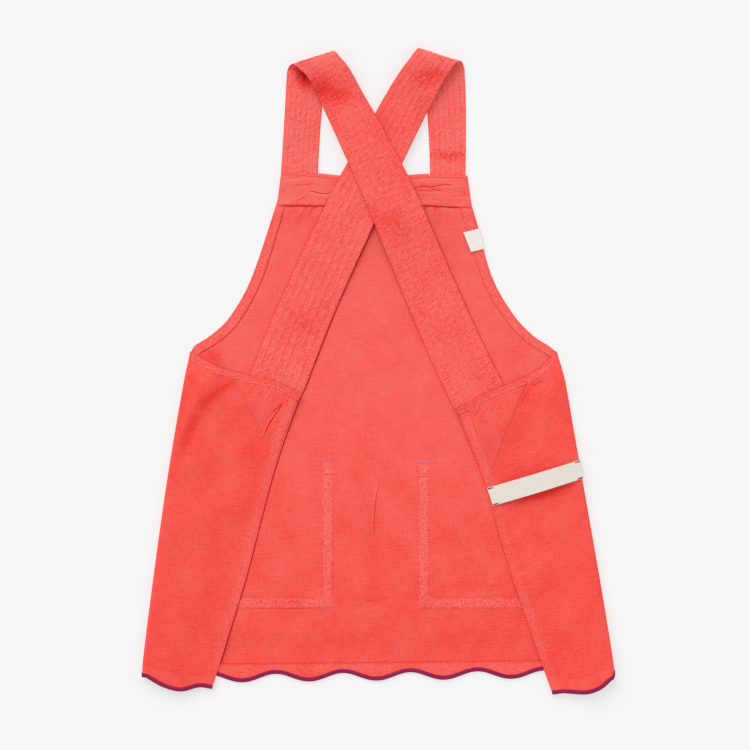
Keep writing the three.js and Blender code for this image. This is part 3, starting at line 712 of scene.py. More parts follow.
def sewn_marks(wire):
    """Puckers and the dashed lines of a double row of stitches, where a sheet has a seam; the finish paints
    them into the colour too, as painted light and shade.
    """
    along, away, sewn = attribute(wire, "seam").split()
    place = wire.node("ShaderNodeCombineXYZ", {}, {0: along + 0.6 * away, 1: away})
    puckers = noise(wire, place, (0.38, 1.5), 2.0)
    from_row = away.size() - 1.25
    dashes = 0.6 + 0.4 * (along * (2 * np.pi / STITCH)).sine()
    line = (1 - 22 * from_row * from_row).held() * dashes
    return (4.0 * (puckers - 0.5)) * sewn, line * sewn * sewn


def crease_marks(wire):
    """The painted shade line of a crease or of a shadow beside a piece, and the painted highlight of the ridge
    beside it.
    """
    away, depth, _ = attribute(wire, "crease").split()
    line = (1.2 - 1.3 * away * away).held() * depth
    ridge_highlight = (1 - 0.16 * (away - 2.6) * (away - 2.6)).held() * depth
    return line, ridge_highlight


def cloth_finish(name, pale):
    """A matt finish, with a little of the light that loose fibres catch at the edges."""
    return new_finish(name, Sheen_Weight=0.03, Sheen_Roughness=0.6, Sheen_Tint=pale, Specular_IOR_Level=0.04)


def woven_finish(name, shade, deep, pale, thread=0.8, relief=0.6):
    """Plain weave in three colours (a painted shade, a deep and a pale one), with the thread's width in mm and
    the strength of its relief.
    """
    material, shader, wire = cloth_finish(name, pale)
    grain, tone = attribute(wire, "grain"), attribute(wire, "tone", 2)
    warp = noise(wire, grain, (620, 60), 3.0)
    weft = noise(wire, grain, (52, 640), 3.0)
    cloud = noise(wire, grain, (24, 20), 4.0)
    speck = noise(wire, grain, (620, 620), 2.0)
    puckers, line = sewn_marks(wire)
    crease, ridge_highlight = crease_marks(wire)
    streaks = 0.45 * (warp + 1.3 * weft - 1.15) + 0.5 * (cloud - 0.5) + 0.9 * (speck - 0.5)
    # Painted light in the colour: the tone attribute, painted light and shade on puckers, painted shade in
    # stitch grooves and creases, and a painted highlight beside each crease
    factor = 0.46 + streaks + 0.5 * tone + 0.5 * puckers - 0.45 * line - 1.2 * crease + 0.25 * ridge_highlight
    paint(shader, "Base Color", dye_and_shade(wire, shade, deep, pale, factor))
    paint(shader, "Roughness", 0.84 + 0.12 * speck)
    across, along, _ = grain.split()
    per_thread = 2 * np.pi / (thread * MM)
    crossing = (across * per_thread).sine() * (along * per_thread).sine()
    fibres = 0.05 * crossing + 0.4 * (warp + weft) + 0.4 * speck
    height = fibres + 0.4 * puckers - 0.3 * line - 0.25 * crease + 0.3 * ridge_highlight
    emboss(shader, height, relief, 0.8 * MM)
    return material


# The first colour is the painted shade of creases, shadow lines and edges
coral = woven_finish("coral_cloth", linear(208, 6, 14), linear(245, 66, 60), linear(250, 126, 116))
print("finish:", coral.name)

# %% [markdown]
# ## Quilted coral cloth
# The straps are sewn in close rows over a filling. Washing has shrunk the cloth between the stitches, so it
# is crinkled all over in small slanting pillows, and the rows show as fine grooves between them. The hollows,
# grooves and slack places are also painted darker, as painted shade.


# %% Quilted coral cloth
# Length of the puffs along a strap's rims, the sine and cosine of the crinkles' slant, and the strips
# that the sewn rows part a strap into
PUFF, SLANT = 5.2 * MM, 0.7
QUILT_STRIPS = 7


def quilted_finish(name, shade, deep, pale):
    material, shader, wire = cloth_finish(name, pale)
    grain, tone = attribute(wire, "grain"), attribute(wire, "tone", 2)
    sewn, row, slack_and_shade = attribute(wire, "seam").split()
    pebbles = noise(wire, grain, (330, 460), 2.0)
    east, north, _ = wire.node("ShaderNodeTexCoord", out=3).split()
    slanting = {0: SLANT * (north + east), 1: SLANT * (north - east)}
    slanting = wire.node("ShaderNodeCombineXYZ", {}, slanting)
    ripples = noise(wire, slanting, (125, 390), 2.0)
    warp = noise(wire, grain, (620, 60), 2.0)
    cloud = noise(wire, grain, (24, 20), 3.0)
    groove = (((row * (2 * np.pi)).cosine() - 0.55) * 2.2).held() * sewn
    _, along, _ = grain.split()
    from_rim = QUILT_STRIPS / 2 - (row - QUILT_STRIPS / 2).size()
    rim = (1.25 - from_rim).held()
    puffs = (along * (2 * np.pi / PUFF) + 9.0 * cloud).sine() * rim
    # Crinkles and grooves are painted darker in their hollows, and slack places deeper still, as painted shade;
    # the tone attribute adds painted light
    crinkles = (1.0 + 0.9 * slack_and_shade) * (0.9 * pebbles + 0.8 * ripples - 0.85) + 0.3 * puffs * ripples * ripples
    factor = 0.5 + crinkles + 0.5 * (warp - 0.5) + 0.5 * (cloud - 0.5) - 0.3 * groove + 0.6 * tone
    paint(shader, "Base Color", dye_and_shade(wire, shade, deep, pale, factor))
    paint(shader, "Roughness", 0.84 + 0.12 * pebbles)
    height = 1.2 * crinkles - 0.35 * groove + 0.2 * warp
    emboss(shader, height, 0.8, 1.2 * MM)
    return material


# The first colour is the painted shade of hollows, grooves and slack places
quilt = quilted_finish("quilted_cloth", linear(198, 24, 30), linear(247, 70, 65), linear(254, 136, 127))
print("finish:", quilt.name)

# %% [markdown]
# ## Plum binding, cream tape and threads
# The binding is a smoother cotton tape, the towel loop is twill tape with a fine slanting rib, and the tab
# is a smooth folded ribbon. Sewing thread is rounder and a little glossier than cloth.

# %% Plum binding, cream tape and threads
plum = woven_finish("plum_binding", linear(78, 20, 42), linear(124, 28, 64), linear(170, 52, 94), thread=0.6)
tab_finish = woven_finish(
    "cream_tab", linear(208, 196, 186), linear(234, 224, 216), linear(249, 243, 238), thread=0.5, relief=0.15
)


def twill_finish(name, deep, pale, rib=1.3):
    material, shader, wire = new_finish(name, Sheen_Weight=0.2, Sheen_Roughness=0.6, Specular_IOR_Level=0.2)
    grain = attribute(wire, "grain")
    across, along, _ = grain.split()
    ribs = ((across + along) * (2 * np.pi / (rib * MM))).sine()
    mottle = noise(wire, grain, (300, 120))
    paint(shader, "Base Color", blend(wire, deep, pale, (0.5 + 0.22 * ribs + 0.7 * (mottle - 0.5)).held()))
    paint(shader, "Roughness", 0.8 + 0.15 * mottle)
    emboss(shader, ribs + 0.8 * mottle, 0.5, 0.3 * MM)
    return material


def thread_finish(name, deep, pale):
    material, shader, wire = new_finish(name, Sheen_Weight=0.05, Specular_IOR_Level=0.08)
    place = wire.node("ShaderNodeTexCoord", out=3)
    change = noise(wire, place, (350, 350))
    paint(shader, "Base Color", blend(wire, deep, pale, change))
    paint(shader, "Roughness", 0.55 + 0.2 * change)
    return material


faded_thread = thread_finish("faded_thread", linear(188, 84, 140), linear(226, 132, 176))
tape = twill_finish("cream_tape", linear(232, 221, 208), linear(249, 242, 233))
coral_thread = thread_finish("coral_thread", linear(238, 84, 78), linear(252, 124, 116))
plum_thread = thread_finish("plum_thread", linear(116, 22, 82), linear(156, 42, 112))
made = (plum, tab_finish, tape, coral_thread, plum_thread, faded_thread)
print("finishes:", [finish.name for finish in made])

# %% [markdown]
# ## Marks on the front
# The front is painted with what lies on it and under it: pocket seams pressed through, painted shadows along
# straps, wings and a facing, and painted shade in creases under the band. Painting them by hand is possible,
# but here each one is a line with a depth, and the lines beside straps, wings and facings are read from those
# pieces, so that they always fit.

# %% Marks on the front
# Painted shade and painted light on the front: two ends, the half width and the change of tone
FRONT_SHADE_AND_LIGHT = [
    (-243, 30, -224, 15, 7, -1.0), (206, 34, 184, 26, 13, -0.4), (-101, 231, -116, 206, 5, -0.45),
    (-89, 231, -97, 220, 4, -0.4), (-117, 230, -126, 220, 4, -0.3), (80, 230, 78, 220, 4, -0.3),
    (80, 226, 100, 214, 8, -0.25), (-6, -205, -9, -322, 9, -0.28), (-30, -318, 6, -319, 5, -0.3),
    (-26, 41, 51, 58, 9, -0.14), (-40, 95, 10, 110, 16, 0.12), (-60, -10, -20, -60, 18, 0.1),
    (159, -337, 139, -397, 8, -0.2), (198, -341, 187, -390, 7, -0.18), (90, -300, 172, -301, 5, -0.25),
]
# How far outside an edge its painted shadow line runs, and the rows of a strap that lie behind the shoulder
OUTSIDE, BEHIND = 0.9, slice(260, None, 10)


def strap_outline(side, edge):
    """One edge of a strap behind the shoulder, seen from above and a little outside the strap, where its
    painted shadow runs.
    """
    both = strap_stations(side)[1][:, BEHIND, :2]
    return list(both[edge] + OUTSIDE * unit(both[edge] - both[1 - edge]))


def wing_outline(side):
    """The inner edge of a wing seen from above, where it lies on the front and its painted shadow runs."""
    y = np.linspace(CORNER_Y, HEM_Y, 12)
    return list(wing(side, np.ones(12), y)[:, :2] + np.array([-side * OUTSIDE, 0]))


# Width of the strips that face the armholes, by height
FACING = {
    LEFT: [(20, 11.2), (60, 13.9), (110, 14.1), (160, 13.8), (195, 12.8), (238, 12.5)],
    RIGHT: [(20, 10.4), (60, 12.7), (110, 13.6), (180, 14.6), (238, 18.5)],
}


def armhole_line(y, inset, side):
    """Places along an armhole, this far in from its edge; below the corner the strip runs on under the wing."""
    held = np.maximum(y, CORNER_Y + 1)
    rise = (panel_edge(held + 1, side) - panel_edge(held - 1, side)) / 2
    turn = -side * inset / np.hypot(rise, 1)
    edge = panel_edge(held, side) + rise * (y - held)
    x, y = edge + turn, y - turn * rise
    limit = panel_edge(y, side) - side * 1.2
    return np.where(y < CORNER_Y, side * np.minimum(side * x, side * limit), x), y


def facing_outline(side):
    """The inner edge of an armhole's facing, a little outside it, where its painted shadow runs."""
    at = np.linspace(CORNER_Y + 4, BAND_LOW, 26)
    return list(zip(*armhole_line(at, curve(FACING[side], at) + 0.8, side)))


# Painted shade lines on the front, in creases and as shadows beside the band, a wing, the straps and a facing:
# how deep each is, and the places that it runs through
FRONT_SHADE_LINES = [
    (0.35, (-90, 232), (-95, 225), (-100, 216)), (0.3, (-101, 231), (-107, 222), (-112, 213)),
    (0.4, (81, 231), (79, 221)), (0.9, (88, 231), (98, 229.5), (108, 228.5)),
    (0.5, (1.5, -157), (-1.2, -167), (-3.5, -178), (-5.2, -190), (-6, -205), (-6.4, -228)),
    (0.5, (-79, -145), (-62, -144.5)), (0.5, (52, -148), (69, -147)), (0.25, (23, -244), (38, -245)),
    (0.8, (-142, 231.8), (64, 231.8), (100, 230.2), (131, 228.4)),
    (1.0, *wing_outline(LEFT)), (0.25, *strap_outline(LEFT, 1)), (1.2, *strap_outline(RIGHT, 0)),
    (0.4, *facing_outline(LEFT)), (0.18, (-176, -322.7), (-90, -322.7)),
    (0.28, (-178, -331.6), (-94, -331.6)), (0.1, (78, -322.5), (192, -322.5)),
]
print("the front:", len(FRONT_SHADE_AND_LIGHT), "soft marks and", len(FRONT_SHADE_LINES), "lines")

# %% [markdown]
# ## Tones and seams of the body
# Doubled cloth is painted paler and folded cloth deeper, as painted light and painted shade, and the cloth is
# painted darker towards the hem. These functions say how much, and where seams pucker the cloth. A texture
# could carry both, but numbers on the grid's points need no image and fit the cloth exactly.

# %% Tones and seams of the body
# How much deeper the wings look than the front
WING_DEPTH = -0.38


def front_tone(x, y):
    # Painted light on the pockets' seams, the front painted darker towards the hem, and the listed marks of
    # painted shade and light
    light = 0
    for side in SIDES:
        sides, bottom, below = pocket_depth(x, y, side)
        seam_light = np.where(bottom < sides, 0.4, 0.52)
        depth = np.minimum(sides, bottom)
        light = light + seam_light * below * np.exp(-(((depth - SEAM_MIDDLE) / 7) ** 4))
    return light + 0.46 * smooth(y, -420, 150) - 0.38 + swell(x, y, FRONT_SHADE_AND_LIGHT)


def stronger(first, second):
    """Of two seams, the one that puckers the cloth more at each place."""
    return np.where(first[:, 2:] > second[:, 2:], first, second)


def front_seam(x, y):
    """Along and away from the pockets' seams, with stitch rows at 1 and -1, and how strongly they pucker."""
    seam = np.zeros((len(x), 3))
    for side in SIDES:
        sides, bottom, below = pocket_depth(x, y, side)
        away = (np.minimum(sides, bottom) - SEAM_MIDDLE) / SEAM_HALF
        sewn = below * (1 - smooth(np.abs(away), 1.1, 1.8)) * smooth(np.abs(sides - bottom), 1, 6)
        seam = stronger(table(np.where(bottom < sides, x, y), away, sewn), seam)
    return seam


def wing_tone(side, s, t, x, y):
    from_edge, from_top = from_hems(side, s, t)
    # Painted light on the doubled hems and below the hem's fold, painted shade towards the hem and in the
    # listed folds
    hems = np.maximum(0.25 * (1 - smooth(from_edge, 12, 15)), 0.36 * (1 - smooth(from_top, 10, 15)))
    hems = hems + 0.18 * (1 - smooth(y - curve(WING_HEM[side], x), -2, 0)) - 0.12 * smooth(t, 0.5, 1)
    return hems + WING_DEPTH + swell(x, y, WING_FOLD_SHADE[side])


def wing_seam(side, s, t, x, y):
    """The same for a wing's inner edge and its top edge."""
    from_edge, from_top = from_hems(side, s, t)
    seam = np.zeros((len(x), 3))
    for along, away, strength in ((y, (from_edge - 7.25) / 4.25, 0.55), (x, (from_top - 6.5) / 3.0, 1.5)):
        here = table(along, away, strength * (1 - smooth(np.abs(away), 1.4, 2.2)))
        seam = stronger(here, seam)
    return seam


print("tone at the front's middle:", round(float(front_tone(np.zeros(1), np.zeros(1))[0]), 2))

# %% [markdown]
# ## The body
# The lower grid runs from one wing's inner edge round the fold, across the front and round to the other
# wing. The bib is a second grid on the same front columns, and merging the shared row makes one cloth.

# %% The body
WING_CELLS, FOLD_CELLS, FRONT_CELLS = 52, 8, 160
LOWER_CELLS = 2 * (WING_CELLS + FOLD_CELLS) + FRONT_CELLS
HEM_ROWS, BIB_ROWS = 116, 56
# The grain in mm where a fold starts, its step for each cell of the fold, and its slope on a wing
GRAIN_START, GRAIN_STEP, GRAIN_SLOPE = 300, 2.0, 0.12


def lay_lower(across, up):
    from_middle = np.rint(across * LOWER_CELLS) - LOWER_CELLS / 2
    y = lerp(HEM_Y, CORNER_Y, edged(up, HEM_ROWS, WING_LENGTH))
    places, seam, crease = (np.zeros((len(y), 3)) for _ in range(3))
    grain, tone = np.zeros((len(y), 2)), np.zeros(len(y))
    for side in SIDES:
        beyond = side * from_middle - FRONT_CELLS / 2
        here = (beyond > 0) & (beyond < FOLD_CELLS)
        places[here] = fold(side, np.pi * beyond[here] / FOLD_CELLS, y[here])
        grain[here] = table(side * (GRAIN_START + GRAIN_STEP * beyond[here]), y[here])
        tone[here] = WING_DEPTH
        here = beyond >= FOLD_CELLS
        s, t = edged((beyond[here] - FOLD_CELLS) / WING_CELLS, WING_CELLS, 130), down_wing(y[here])
        places[here] = wing(side, s, y[here])
        seen = places[here, :2].T
        from_fold = s * wing_width(side, t)
        wing_start = GRAIN_START + GRAIN_STEP * FOLD_CELLS
        grain[here] = table(side * (wing_start + from_fold), y[here] - GRAIN_SLOPE * from_fold)
        # Painted shade along the wings' top edges; on the inner edges a painted highlight on the left wing's
        # rim and painted shade on the right one's
        tone[here] = wing_tone(side, s, t, *seen) + EDGE_SHADE * (t == 0)
        tone[here] += (RIM_HIGHLIGHT if side == LEFT else EDGE_SHADE) * (s == 1)
        seam[here] = wing_seam(side, s, t, *seen)
        crease[here] = crease_lines(*seen, WING_CREASE_SHADE[side])
    here = np.abs(from_middle) <= FRONT_CELLS / 2
    places[here] = panel((from_middle[here] + FRONT_CELLS / 2) / FRONT_CELLS, y[here])
    seen = places[here, :2].T
    grain[here], tone[here], seam[here] = seen.T, front_tone(*seen), front_seam(*seen)
    crease[here] = crease_lines(*seen, FRONT_SHADE_LINES)
    return places, grain, tone, seam, crease


def lay_bib(across, up):
    y = lerp(CORNER_Y, BIB_TOP, up)
    places = panel(np.rint(across * FRONT_CELLS) / FRONT_CELLS, y)
    x, y = places[:, :2].T
    # Painted shade along the bib's side edges
    tone = front_tone(x, y) + EDGE_SHADE * (np.abs(across - 0.5) > 0.4999)
    return places, places[:, :2], tone, front_seam(x, y), crease_lines(x, y, FRONT_SHADE_LINES)


bm = bmesh.new()
add_grid(bm, LOWER_CELLS, HEM_ROWS, lay_lower, 0)
add_grid(bm, FRONT_CELLS, BIB_ROWS, lay_bib, 0)
bmesh.ops.remove_doubles(bm, verts=bm.verts, dist=0.01 * MM)
BODY_NODES = ("front_panel", "side_fold_left", "side_fold_right", "wing_left", "wing_right")
body = finish_sheet("body_cloth", bm, 0.9, coral, BODY_NODES, "coral_cloth")

# %% [markdown]
# ## Facings along the armholes and the hem
# Strips of the same cloth are sewn to the inside of the armholes and above the scallops. They lie on the
# front and follow it, a cloth's thickness higher, with their free edges lifting a little. A shrinkwrap could
# hold them there, but the function that lays the front already gives its height anywhere.

# %% Facings
# Cells across a facing, and how far the armholes' facings run on under the band
FACING_CELLS, UNDER_BAND = 8, 6.0


def lay_armhole_facing(side):
    def lay(across, up):
        inward = edged(across, FACING_CELLS, 15, 0.6)
        at = lerp(CORNER_Y - 8, BAND_LOW + UNDER_BAND, up)
        width = curve(FACING[side], at)
        x, y = armhole_line(at, width * inward, side)
        wander = 1.2 + waves(at, at * 0, 22, 51 + side)
        lift = 0.62 + 0.33 * smooth(inward, 0, 0.1) + 0.15 * smooth(inward, 0.8, 1) * wander
        lift = lift + 0.22 * gathers(at, width * (inward - 0.5), 8, 9, 53 + side)
        lift = lerp(lift, 0.7, smooth(y, BAND_LOW - 8, BAND_LOW - 1))
        if side == RIGHT:
            lift = lerp(0.75, lift, smooth(outside(y, TAB_LOW - 4, TAB_HIGH + 4), 0, 8))
        places = table(x, y, front_height(x, y) + lift)
        seam = table(at, (inward - 0.5) / 0.34, 0.75)
        # The facing is painted a little paler, as painted light on doubled cloth
        return places, table(width * inward, at), 0.15, seam

    return lay


def hem_facing_top(x):
    return HEM_FACING_TOP - 1.9 + 0.011 * x


def hem_x(share, inset):
    """Across the front at the hem, from this far inside its left side to as far inside its right side."""
    left, right = (panel_edge(np.array(HEM_Y), side) - side * inset for side in SIDES)
    return lerp(left, right, share)


def lay_hem_facing(across, up):
    share = edged(up, FACING_CELLS, 20, 0.7)
    x = hem_x(across, 2)
    low = HEM_Y + hem_wave(x) + HEM_LIP - 1.2
    y = lerp(low, hem_facing_top(x), share)
    lift = 0.8 + 0.25 * smooth(share, 0.75, 1) + 0.3 * gathers(x, 20 * (share - 0.5), 10, 11, 57)
    places = table(x, y, front_height(x, y) + np.maximum(lift, 0.7))
    seam = table(x, (20 * share - 10) / 6, 0.6)
    # A painted shade line just below the facing's top edge, and the strip painted a little darker
    crease = table(y - hem_facing_top(x) + 1.1, 0.22, 0)
    return places, places[:, :2], -0.16, seam, crease


for side, name in SIDES.items():
    node = f"armhole_facing_{name}"
    grid_sheet(
        f"{node}_cloth", (FACING_CELLS, 90), lay_armhole_facing(side), 0.5 * EDGE_SHADE,
        0.6, coral, [node], "coral_cloth",
    )
hem_facing = grid_sheet(
    "hem_facing_cloth", (210, FACING_CELLS), lay_hem_facing, EDGE_SHADE,
    0.6, coral, ["hem_facing"], "coral_cloth",
)

# %% [markdown]
# ## The bound hem
# A plum tape is folded over the cut edge all the way round. Its section is a flattened U. A curve with that
# section as its bevel would twist at the folds, so a grid with one side along the hem and the other round the U
# is moved onto the edge, and the binding follows every scallop.

# %% The bound hem
# Cells along the hem and round the tape; the tape's half height, its reach in from the edge and out past it
HEM_CELLS = (340, 14)
BINDING_HALF, BINDING_IN, BINDING_OUT = 1.25, 3.5, 2.1
# The share of the tape's width that is bent, and the shares of the hem where wings, folds and front meet
BENT = 0.36
HEM_PARTS = np.array([0, 0.115, 0.137, 0.867, 0.889, 1.0])


def hem_edge(across, inset):
    """The whole hem's edge, from the left wing's inner edge to the right wing's."""
    y = np.full_like(across, HEM_Y + inset)
    part = np.clip(np.searchsorted(HEM_PARTS, across, side="right") - 1, 0, 4)
    share = (across - HEM_PARTS[part]) / (HEM_PARTS[part + 1] - HEM_PARTS[part])
    laid = [
        lambda i: wing(LEFT, 1 - share[i], y[i]), lambda i: fold(LEFT, np.pi * (1 - share[i]), y[i]),
        lambda i: panel(share[i], y[i]), lambda i: fold(RIGHT, np.pi * share[i], y[i]),
        lambda i: wing(RIGHT, share[i], y[i]),
    ]
    places = np.zeros((len(across), 3))
    for number, lay in enumerate(laid):
        here = part == number
        places[here] = lay(here)
    return places


def lay_binding(across, around):
    edge, inner = hem_edge(across, 0.0), hem_edge(across, 4.0)
    step = 0.0008
    along = unit(hem_edge(np.clip(across + step, 0, 1), 0.0) - hem_edge(np.clip(across - step, 0, 1), 0.0))
    out = edge - inner
    out = unit(out - along * (out * along).sum(1)[:, None])
    up = np.cross(out, along)
    round_part = np.clip(np.pi * (around - 0.5) / BENT, -np.pi / 2, np.pi / 2)
    straight = np.maximum(np.abs(around - 0.5) - BENT / 2, 0) / (0.5 - BENT / 2)
    outwards = np.where(straight > 0, -BINDING_IN * straight, BINDING_OUT * np.cos(round_part))
    length = across * 900
    puff = 1 + 0.1 * waves(length, around * 3, 9, 61)
    height = BINDING_HALF * np.sin(round_part) * puff * (1 - 0.22 * smooth(straight, 0.6, 1))
    places = edge + out * outwards[:, None] + up * height[:, None]
    places[:, 2] = np.maximum(places[:, 2], 0.35)
    return places, table(length, around * 14), 0.0


BINDING_NODES = [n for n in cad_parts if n.startswith("hem_binding")]
binding = grid_sheet(
    "hem_binding_tape", HEM_CELLS, lay_binding, 0, 0.5, plum, BINDING_NODES, "plum_binding"
)

# %% [markdown]
# ## Bib band
# The band is one strip folded along its top edge, with the front and the strap ends between its two leaves.
# The grid runs up the lower leaf, over the fold and down the upper leaf; where a strap comes out, the
# fold's cells are taken away, so the strap passes between the leaves.

# %% Bib band
# Where the straps come out, the band's ends at its foot and its top, and the lines of its top and its foot
STRAP_MOUTHS = [(-136.5, -84.7), (72.1, 121.8)]
BAND_ENDS = {LEFT: (-142.0, -136.2), RIGHT: (130.6, 124.4)}
BAND_TOP = [
    (-141, 280.9), (-110, 279.4), (-83, 277.4), (-51, 274.3), (0, 273.6), (40, 275), (73, 276.8), (124, 275.5),
]
BAND_FOOT = [(-142, 232.6), (64, 232.6), (100, 231.0), (131, 229.2)]
LOWER_ROWS, UPPER_ROWS, TURN_ROWS, BAND_CELLS = 10, 34, 6, 170
BAND_ROWS = LOWER_ROWS + TURN_ROWS + UPPER_ROWS
# The middle of the puckers above the foot, and the stitch row below the top
FOOT_ROW, TOP_ROW = 4.5, 6.6
BAND_CREASE_SHADE = [
    (1.0, (-99, 252.3), (-92, 252), (-82, 249.3), (-73, 248.8), (-65, 251)),
    (0.45, (-121, 260.2), (-106, 261), (-96, 262), (-88, 264.2)),
    (0.5, (-117, 236.5), (-110, 241), (-99, 246.3)), (0.3, (-129, 267), (-120, 270.8), (-108, 272.2)),
    (0.3, (-138, 252), (-128, 256)),
    (0.9, (44, 255), (50, 256.7), (63, 259.3), (72, 257.9), (83, 260.2), (93, 261.4), (106, 261)),
    (0.6, (52, 252), (59, 253.2), (70, 252.3), (79, 254.2), (92, 252)), (0.4, (113, 245), (122, 247.6)),
    (0.4, (103, 244), (109, 246.5)), (0.3, (112, 252), (124, 250)), (0.3, (70, 240), (84, 242)),
    (0.4, (-138, 275.4), (-110, 274.1), (-83, 272.1), (-54, 269.4)),
    (0.4, (42, 269.8), (73, 271.5), (122, 270.3)),
]
BAND_SWELLS = [
    (-100, 256, -62, 254, 4, 0.8), (-124, 265, -88, 268, 4, 0.6), (-138, 248, -106, 236, 5, 0.5),
    (46, 262, 98, 265, 4, 0.7), (84, 256, 110, 256, 3.5, 0.5), (104, 240, 126, 243, 4, 0.5),
    (50, 248, 90, 248, 4, 0.5),
]


def band_relief(x, y):
    relief = swell(x, y, BAND_SWELLS) + 0.25 * waves(x * 0.35, y, 15, 71)
    return np.maximum(relief + 0.2 * gathers(x, y - 272, 8, 7, 73) + 0.2 * gathers(x, y - 233, 9, 5, 75), -0.6)


def band_half(y_above_foot):
    return (BAND_HEIGHT / 2 - 0.55) * lerp(0.92, 1, smooth(y_above_foot, 0, 5))


def lay_band(across, around):
    row = np.rint(around * BAND_ROWS)
    turn = np.clip((row - LOWER_ROWS) / TURN_ROWS, 0, 1)
    lower = edged(np.clip(row / LOWER_ROWS, 0, 1), LOWER_ROWS, 46, 0.7)
    upper = edged(np.clip((BAND_ROWS - row) / UPPER_ROWS, 0, 1), UPPER_ROWS, 46, 0.7)
    leaf = np.where(turn < 1, lower, upper)
    left, right = (lerp(*BAND_ENDS[side], leaf) for side in SIDES)
    x = lerp(left, right, edged(across, BAND_CELLS, 270, 0.8))
    foot, top = curve(BAND_FOOT, x), curve(BAND_TOP, x)
    y = lerp(foot, top - 2.0, leaf) + 2.0 * np.sin(np.pi * turn)
    from_end = np.minimum(x - left, right - x)
    half = band_half(y - foot) * lerp(0.3, 1, smooth(from_end, 0, 3.0))
    z = BAND_HEIGHT / 2 - half * np.cos(np.pi * turn)
    z = np.where(turn >= 1, z + band_relief(x, y) * smooth(from_end, 0, 5), z)
    grain = table(x, np.where(turn >= 1, y, 2 * BAND_HIGH - y))
    from_foot, from_top = y - foot - FOOT_ROW, y - top + TOP_ROW
    low = table(x, from_foot / 2.5, 0.6 * (1 - smooth(np.abs(from_foot), 4, 7)))
    high = table(x, from_top / 1.4, 0.8 * (1 - smooth(np.abs(from_top), 4, 7)))
    # Painted paler on the left half, a painted highlight along the fold at the top, and random tone; the
    # creases are painted shade
    tone = 0.28 - 0.16 * smooth(x, -60, 60) + 0.35 * np.exp(-((from_top / 1.6) ** 2))
    tone = tone + 0.18 * waves(x * 0.4, y, 18, 77)
    crease = crease_lines(x, y, BAND_CREASE_SHADE)
    return table(x, y, z), grain, tone, np.where(y[:, None] < 252, low, high), crease


def in_mouth(face):
    x, y, _ = face.calc_center_median() / MM
    return y > curve(BAND_TOP, x) - 1.9 and any(low - 1 < x < high + 1 for low, high in STRAP_MOUTHS)


bm = bmesh.new()
add_grid(bm, BAND_CELLS, BAND_ROWS, lay_band)
open_cells = [face for face in bm.faces if in_mouth(face)]
bmesh.ops.delete(bm, geom=open_cells, context="FACES")
band = finish_sheet("bib_band_cloth", bm, 0.8, coral, ["bib_band"], "coral_cloth")

# %% [markdown]
# ## Quilted straps
# Each strap is two cloths with a filling, sewn together in six close rows. It leaves the band, rolls over at
# the shoulder and crosses the other strap. One sheet stands for both cloths: its thickness follows a vertex
# group, fullest along the rows and less between them and at the rims, and it is crinkled all over.

# %% Quilted straps
# Slack places: on the run behind the shoulder or not, the place, its reach both ways, its sag and its slack,
# which also paints the place darker as painted shade
STRAP_DIPS = {
    LEFT: [
        (True, -82, 393, 20, 16, 2.4, 1.1), (True, -60, 385, 22, 12, 2.0, 0.8),
        (True, 10, 205, 30, 30, 0.0, 0.3), (False, -104, 418, 11, 17, 0.0, 2.2),
    ],
    RIGHT: [
        (True, 74, 412, 22, 12, 1.6, 0.6), (False, 98, 303, 34, 7, -0.5, 0.6),
        (True, -100, 70, 30, 40, 0.0, 0.2),
    ],
}
# Painted highlight and painted shade behind the shoulder, the tone of that run, and how strongly its grooves
# show
SHOULDER_LIGHT_AND_SHADE = {
    LEFT: [(-106, 430, -52, 446, 13, 0.5)],
    RIGHT: [(100, 432, 48, 448, 12, 0.3), (58, 385, 0, 320, 32, -0.2)],
}
BACK_TONE = {LEFT: -0.22, RIGHT: -0.12}
BACK_GROOVES = {LEFT: 0.2, RIGHT: 0.6}
# The length at which a strap rolls over, its lowest height, its thickness, and its cells across
SHOULDER_AT, QUILT_LOW, QUILT_THICK = 190, 0.95, 1.9
STRAP_CELLS = 35
STRAP_SHARES = edged(np.linspace(0, 1, STRAP_CELLS + 1), STRAP_CELLS, 60, 0.9)


def quilt_loft(across):
    """The share of the filling that lies here: 1 along the sewn rows, and less between them."""
    return np.abs(np.cos(np.pi * across * QUILT_STRIPS)) ** 0.6


def strap_points(side):
    """A strap's points as rows, with their flat places, the ways up from them, and what the finish needs."""
    length, (outer, inner) = strap_stations(side)
    points = lerp(outer[:, None], inner[:, None], STRAP_SHARES[None, :, None])
    width = np.linalg.norm(inner - outer, axis=1)
    u, v = np.meshgrid(STRAP_SHARES, length)
    flat_u = u * width[:, None]
    normals = unit(np.cross(np.gradient(points, axis=1), np.gradient(points, axis=0)))
    slant, steep = (SLANT * (points[..., 1] + turn * points[..., 0]) for turn in (1, -1))
    crinkle = waves(0.35 * slant, steep, 6.5, 81 + side) + 0.6 * waves(0.5 * slant, steep, 3.9, 83 + side)
    on_back_run = smooth(v, SHOULDER_AT - 8, SHOULDER_AT + 10)
    slack_and_shade = np.zeros_like(v)
    for on_back, x, y, reach_x, reach_y, sag, loose_and_shade in STRAP_DIPS[side]:
        near = np.exp(-(((points[..., 0] - x) / reach_x) ** 2) - ((points[..., 1] - y) / reach_y) ** 2)
        near = near * np.where(on_back, on_back_run, 1 - on_back_run)
        slack_and_shade = np.maximum(slack_and_shade, loose_and_shade * near)
        points[..., 2] -= sag * near
    relief = (1 + 1.6 * slack_and_shade) * 0.17 * crinkle + 0.3 * waves(flat_u, v, 45, 87 + side)
    points = points + normals * (relief * smooth(v, 0, 26))[..., None]
    points[..., 2] = np.maximum(points[..., 2], QUILT_LOW)
    grooves = lerp(0.65, BACK_GROOVES[side], on_back_run)
    seam = table(grooves, u * QUILT_STRIPS, slack_and_shade)
    return points, table(flat_u, v), normals, seam


